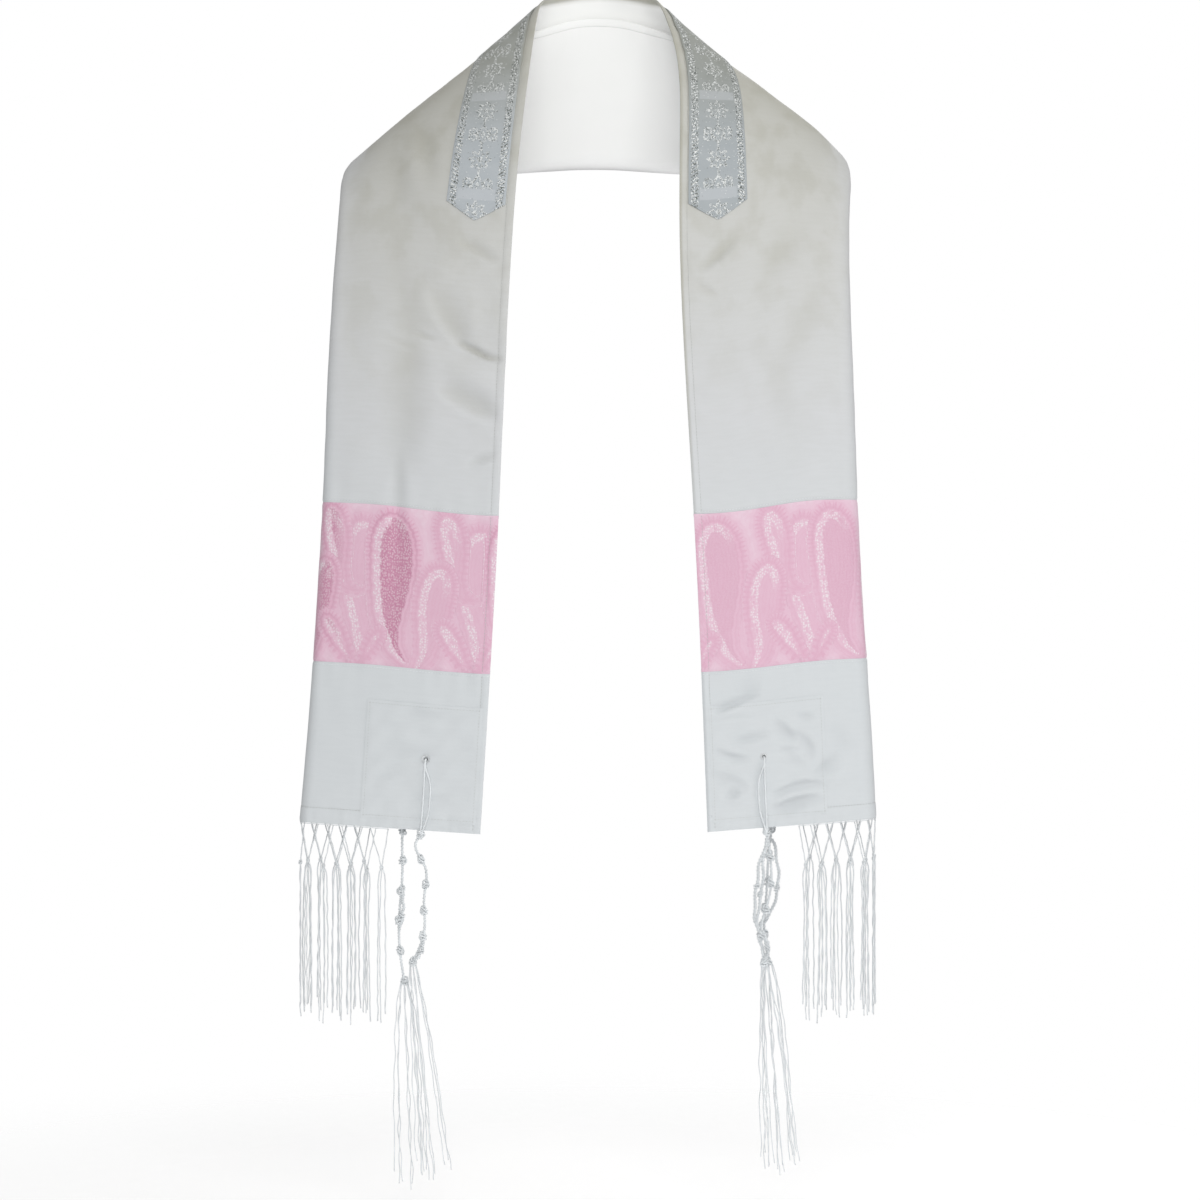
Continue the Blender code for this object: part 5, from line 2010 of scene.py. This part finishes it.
@dataclass
class CornerTassel(ThreadWork):
    """A corner tassel: a loop through the eyelet, wound lengths between knots, and loose strands."""

    side: Side
    layer: Layer
    core: float = 0.0010
    loop_radius: float = 0.0031
    wound: float = 0.0010
    strands: int = 8
    head_points: int = 120
    head_marks: int = 6

    def _loop(self, top: Array, bulge: float) -> Array:
        """A cord from the head up before the cloth, through the eyelet and down behind it.

        Args:
            top: The head's top.
            bulge: How far the cord hangs aside before the cloth, towards the neck edge.

        Returns:
            Its points.
        """
        drape = self.cloths.drape
        along, across = CUT.eyelet(self.side, self.layer)
        middle, out, up = drape.axes(along, across)
        rim = middle - up * CUT.eyelet_radius
        angles = np.linspace(0, math.pi, 10)
        turn = [rim + self.loop_radius * (out * math.cos(a) + up * math.sin(a)) for a in angles]
        before, behind = [], []
        aside = -bulge if self.layer is Layer.FRONT else bulge
        for drop, share in ((0.046, 0.75), (0.030, 1.0), (0.012, 0.8), (-0.002, 0.2)):
            here = self.side.value * (CUT.half_length - drop)
            before.insert(0, drape.place(here, across + aside * share, 0.0027))
            behind.append(drape.place(here, across, -0.0031))
        inside = top - (0, 0, 0.004)
        stops = np.array([inside + out * 0.0005, *before, *turn, *behind, inside - out * 0.0005])
        run = lengths(stops)
        return smooth(run, stops, np.linspace(0, run[-1], 110))

    def build(self) -> None:
        """Makes the tassel."""
        shape = TASSELS[self.side, self.layer]
        across = CUT.across(CUT.eyelet_inset, self.layer)
        top = self.cloths.drape.place(self.side.value * (CUT.half_length + 0.004), across)
        drops = np.array([(0, 0), *shape.bends])
        at = np.linspace(0, drops[-1, 0], self.head_points)
        shifts = smooth(drops[:, 0], drops[:, 1:], at)[:, 0]
        head = top + np.stack([shifts, np.zeros_like(at), -at], axis=1)
        seed = 31 + 7 * self.side.value + (3 if self.layer is Layer.REAR else 0)
        random = np.random.default_rng(seed)
        self._add(self._loop(top, 0.0), 1.0)
        self._add(self._loop(top, 0.0062), 0.9)
        for start in (0.0, 2.1, 4.2):
            self._add(coil(head, 0.0005, 0.009, 14, start), 0.70)
        marks = np.linspace(0, len(head) - 1, self.head_marks).astype(int)
        for first, last in zip(marks, marks[1:]):
            pitch, start = random.uniform(0.0026, 0.0040), random.uniform(0, 6)
            self._add(coil(head[first + 2 : last - 1], self.wound, pitch, 10, start), 0.60)
        for mark in marks:
            middle = head[mark]
            self._add(knot(middle, 0.0031, 0.0058, random.uniform(0, 6)), 0.85)
            for reach, drop in ((0.0030, 0.0006), (0.0024, -0.0026)):
                tip = random.uniform(0.8, 1.5) * random.choice((-1, 1))
                aside = np.array((random.uniform(-0.0012, 0.0012), -0.0004, -drop))
                self._add(knot(middle + aside, reach, 0.0026, random.uniform(0, 6), tip), 0.75)
        steps = self.head_points - 1
        for first, last, bulge in shape.cords:
            self._side_cord(head[int(first * steps) : int(last * steps) + 1], bulge, random)
        low = top + (shape.ends[1], 0, -shape.ends[0])
        for strand in range(self.strands):
            self._strand(head[-1], low, strand, random)
        self._spin(f"tassel_{self.side.word}_{self.layer.value}", self.core, 1000.0)

    def _side_cord(self, part: Array, bulge: float, random: Random) -> None:
        """A wound cord that leaves the head and comes back to it.

        Args:
            part: The head's points between the two places.
            bulge: How far it stands aside at most.
            random: The tassel's random numbers.
        """
        share = np.linspace(0, 1, len(part))
        aside = bulge * np.sin(math.pi * share) ** 0.6 + 0.0007 * np.sin(19 * share)
        path = part + np.stack([aside, np.full_like(share, -0.0008), np.zeros_like(share)], axis=1)
        for start in (0.0, 2.1, 4.2):
            self._add(coil(path, 0.0007, 0.008, 14, start), 0.78)
        pitch = random.uniform(0.0028, 0.0042)
        self._add(coil(path, self.wound * 1.3, pitch, 10, random.uniform(0, 6)), 0.66)
        middle = path[int(random.uniform(0.45, 0.62) * len(path))]
        self._add(knot(middle, 0.0026, 0.0050, random.uniform(0, 6)), 0.80)

    def _strand(self, root: Array, low: Array, strand: int, random: Random) -> None:
        """One loose strand, with the small bends of thread that was wound.

        Args:
            root: Where it leaves the last knot.
            low: The middle of all the strands' ends.
            strand: Its number.
            random: The tassel's random numbers.
        """
        angle = 2 * math.pi * strand / self.strands
        spoke = np.array((math.cos(angle), math.sin(angle), 0))
        end = low + spoke * (0.013, 0.008, 0) * (1 + math.sin(2.3 * strand) / 4)
        end = end + (0, 0, 0.008 * math.sin(1.9 * strand))
        at = np.linspace(0, 1, 90)[:, None]
        line = root + spoke * 0.0020 + (end - root) * at
        line = line + spoke * 0.003 * np.sin(3 * at + strand) * at * (1 - at)
        line = line + spoke * TASSELS[self.side, self.layer].arch * np.sin(math.pi * at**0.6)
        run = at[:, 0]
        self._bend(line, run, (14, 46), 0.0011 * eased(run * 8), random)
        self._add(line, 0.62)


# Studio


@dataclass(frozen=True)
class SoftLight:
    """A square soft light turned to a point, which lights cloth but shows in no reflection."""

    name: str
    place: Place
    target: Place
    size: float
    power: float
    tint: Colour = (1.0, 1.0, 1.0)

    def build(self) -> None:
        """Adds the light."""
        data = bpy.data.lights.new(self.name, "AREA")
        data.size = self.size
        data.energy = self.power
        data.color = self.tint
        light = add_object(self.name, data)
        light.location = self.place
        light.rotation_mode = "QUATERNION"
        ahead = Vector(self.target) - Vector(self.place)
        light.rotation_quaternion = ahead.to_track_quat("-Z", "Y")
        light.visible_glossy = False


CHEST = (0.0, -0.1, -0.45)
WAIST = (0.0, 0.0, -0.5)
LIGHTS = (
    SoftLight("key", (0.3, -2.7, 0.75), CHEST, 1.5, 34, (1.0, 0.995, 0.975)),
    SoftLight("low", (-0.4, -2.9, -1.1), WAIST, 1.5, 15, (0.97, 0.985, 1.0)),
    SoftLight("side", (2.3, -1.1, 0.1), CHEST, 1.6, 18),
    SoftLight("fill", (-2.4, -0.7, -0.2), CHEST, 1.6, 2),
    SoftLight("back", (0.5, 2.0, 1.5), (0.0, 0.0, -0.3), 1.6, 34),
)


@dataclass
class Studio:
    """A pale floor, soft light and the camera."""

    distance: float = 3.2
    front: float = -0.115
    height: float = -0.552
    frame_width: float = 1.08
    floor: float = -1.115
    floor_radius: float = 1.1
    ambient: float = 0.42

    def _floor(self) -> None:
        """A pale disc under the shawl."""
        shape = bmesh.new()
        bmesh.ops.create_circle(shape, cap_ends=True, segments=96, radius=self.floor_radius)
        mesh = bpy.data.meshes.new("studio_floor")
        shape.to_mesh(mesh)
        shape.free()
        floor = add_object("studio_floor", mesh)
        floor.location = (0, 0, self.floor)
        mesh.materials.append(StudioFloor().build())

    def _world(self) -> None:
        """A white backdrop that lights the shawl only softly."""
        world = bpy.data.worlds.new("studio")
        bpy.context.scene.world = world
        world.use_nodes = True
        board = Board(world.node_tree)
        soft = world.node_tree.nodes["Background"]
        soft.inputs["Color"].default_value = (1.0, 1.0, 1.0, 1.0)
        soft.inputs["Strength"].default_value = self.ambient
        white = board.out("ShaderNodeBackground", Color=(1.0, 1.0, 1.0), Strength=1.0)
        seen = board.out("ShaderNodeLightPath", output="Is Camera Ray")
        around = Wire(board, soft.outputs[0])
        mixed = board.out("ShaderNodeMixShader", Fac=seen, _1=around, _2=white)
        board.plug(mixed, world.node_tree.nodes["World Output"].inputs["Surface"])
        bpy.context.scene.view_settings.view_transform = "Standard"

    def _camera(self) -> None:
        """A camera straight before the shawl."""
        data = bpy.data.cameras.new("camera")
        data.sensor_width = 36.0
        data.lens = self.distance / self.frame_width * data.sensor_width
        data.clip_end = 50
        camera = add_object("camera", data)
        camera.location = (0, self.front - self.distance, self.height)
        camera.rotation_euler = (math.pi / 2, 0, 0)
        bpy.context.scene.camera = camera

    def build(self) -> None:
        """Sets up the floor, the lights and the camera."""
        self._floor()
        self._world()
        for light in LIGHTS:
            light.build()
        self._camera()


def main() -> None:
    """Builds every piece in order."""
    Studio().build()
    cloths = Cloths(
        drape=Drape(CUT),
        stitches=stitch_kit(),
        threads=thread_kit(),
        satin=Satin().build(),
        brocade=Brocade().build(),
        silver=SilverBrocade().build(),
        thread=Thread().build(),
        seam_thread=Thread("seam_thread", (0.500, 0.510, 0.490), 0.62, 0.0).build(),
        eyelet_thread=Thread("eyelet_thread", (0.660, 0.680, 0.690), 0.62, 0.0).build(),
        lurex=Thread("silver_thread", (0.56, 0.59, 0.61), 0.45, 0.0).build(),
    )
    ShawlCloth(cloths).build()
    Atara(cloths).build()
    for side in Side:
        for layer in Layer:
            CornerPatch(cloths, side, layer).build()
            CornerTassel(cloths, side, layer).build()
        HemFringe(cloths, side).build()
    Sewing(cloths).build()


if __name__ == "__main__":
    main()
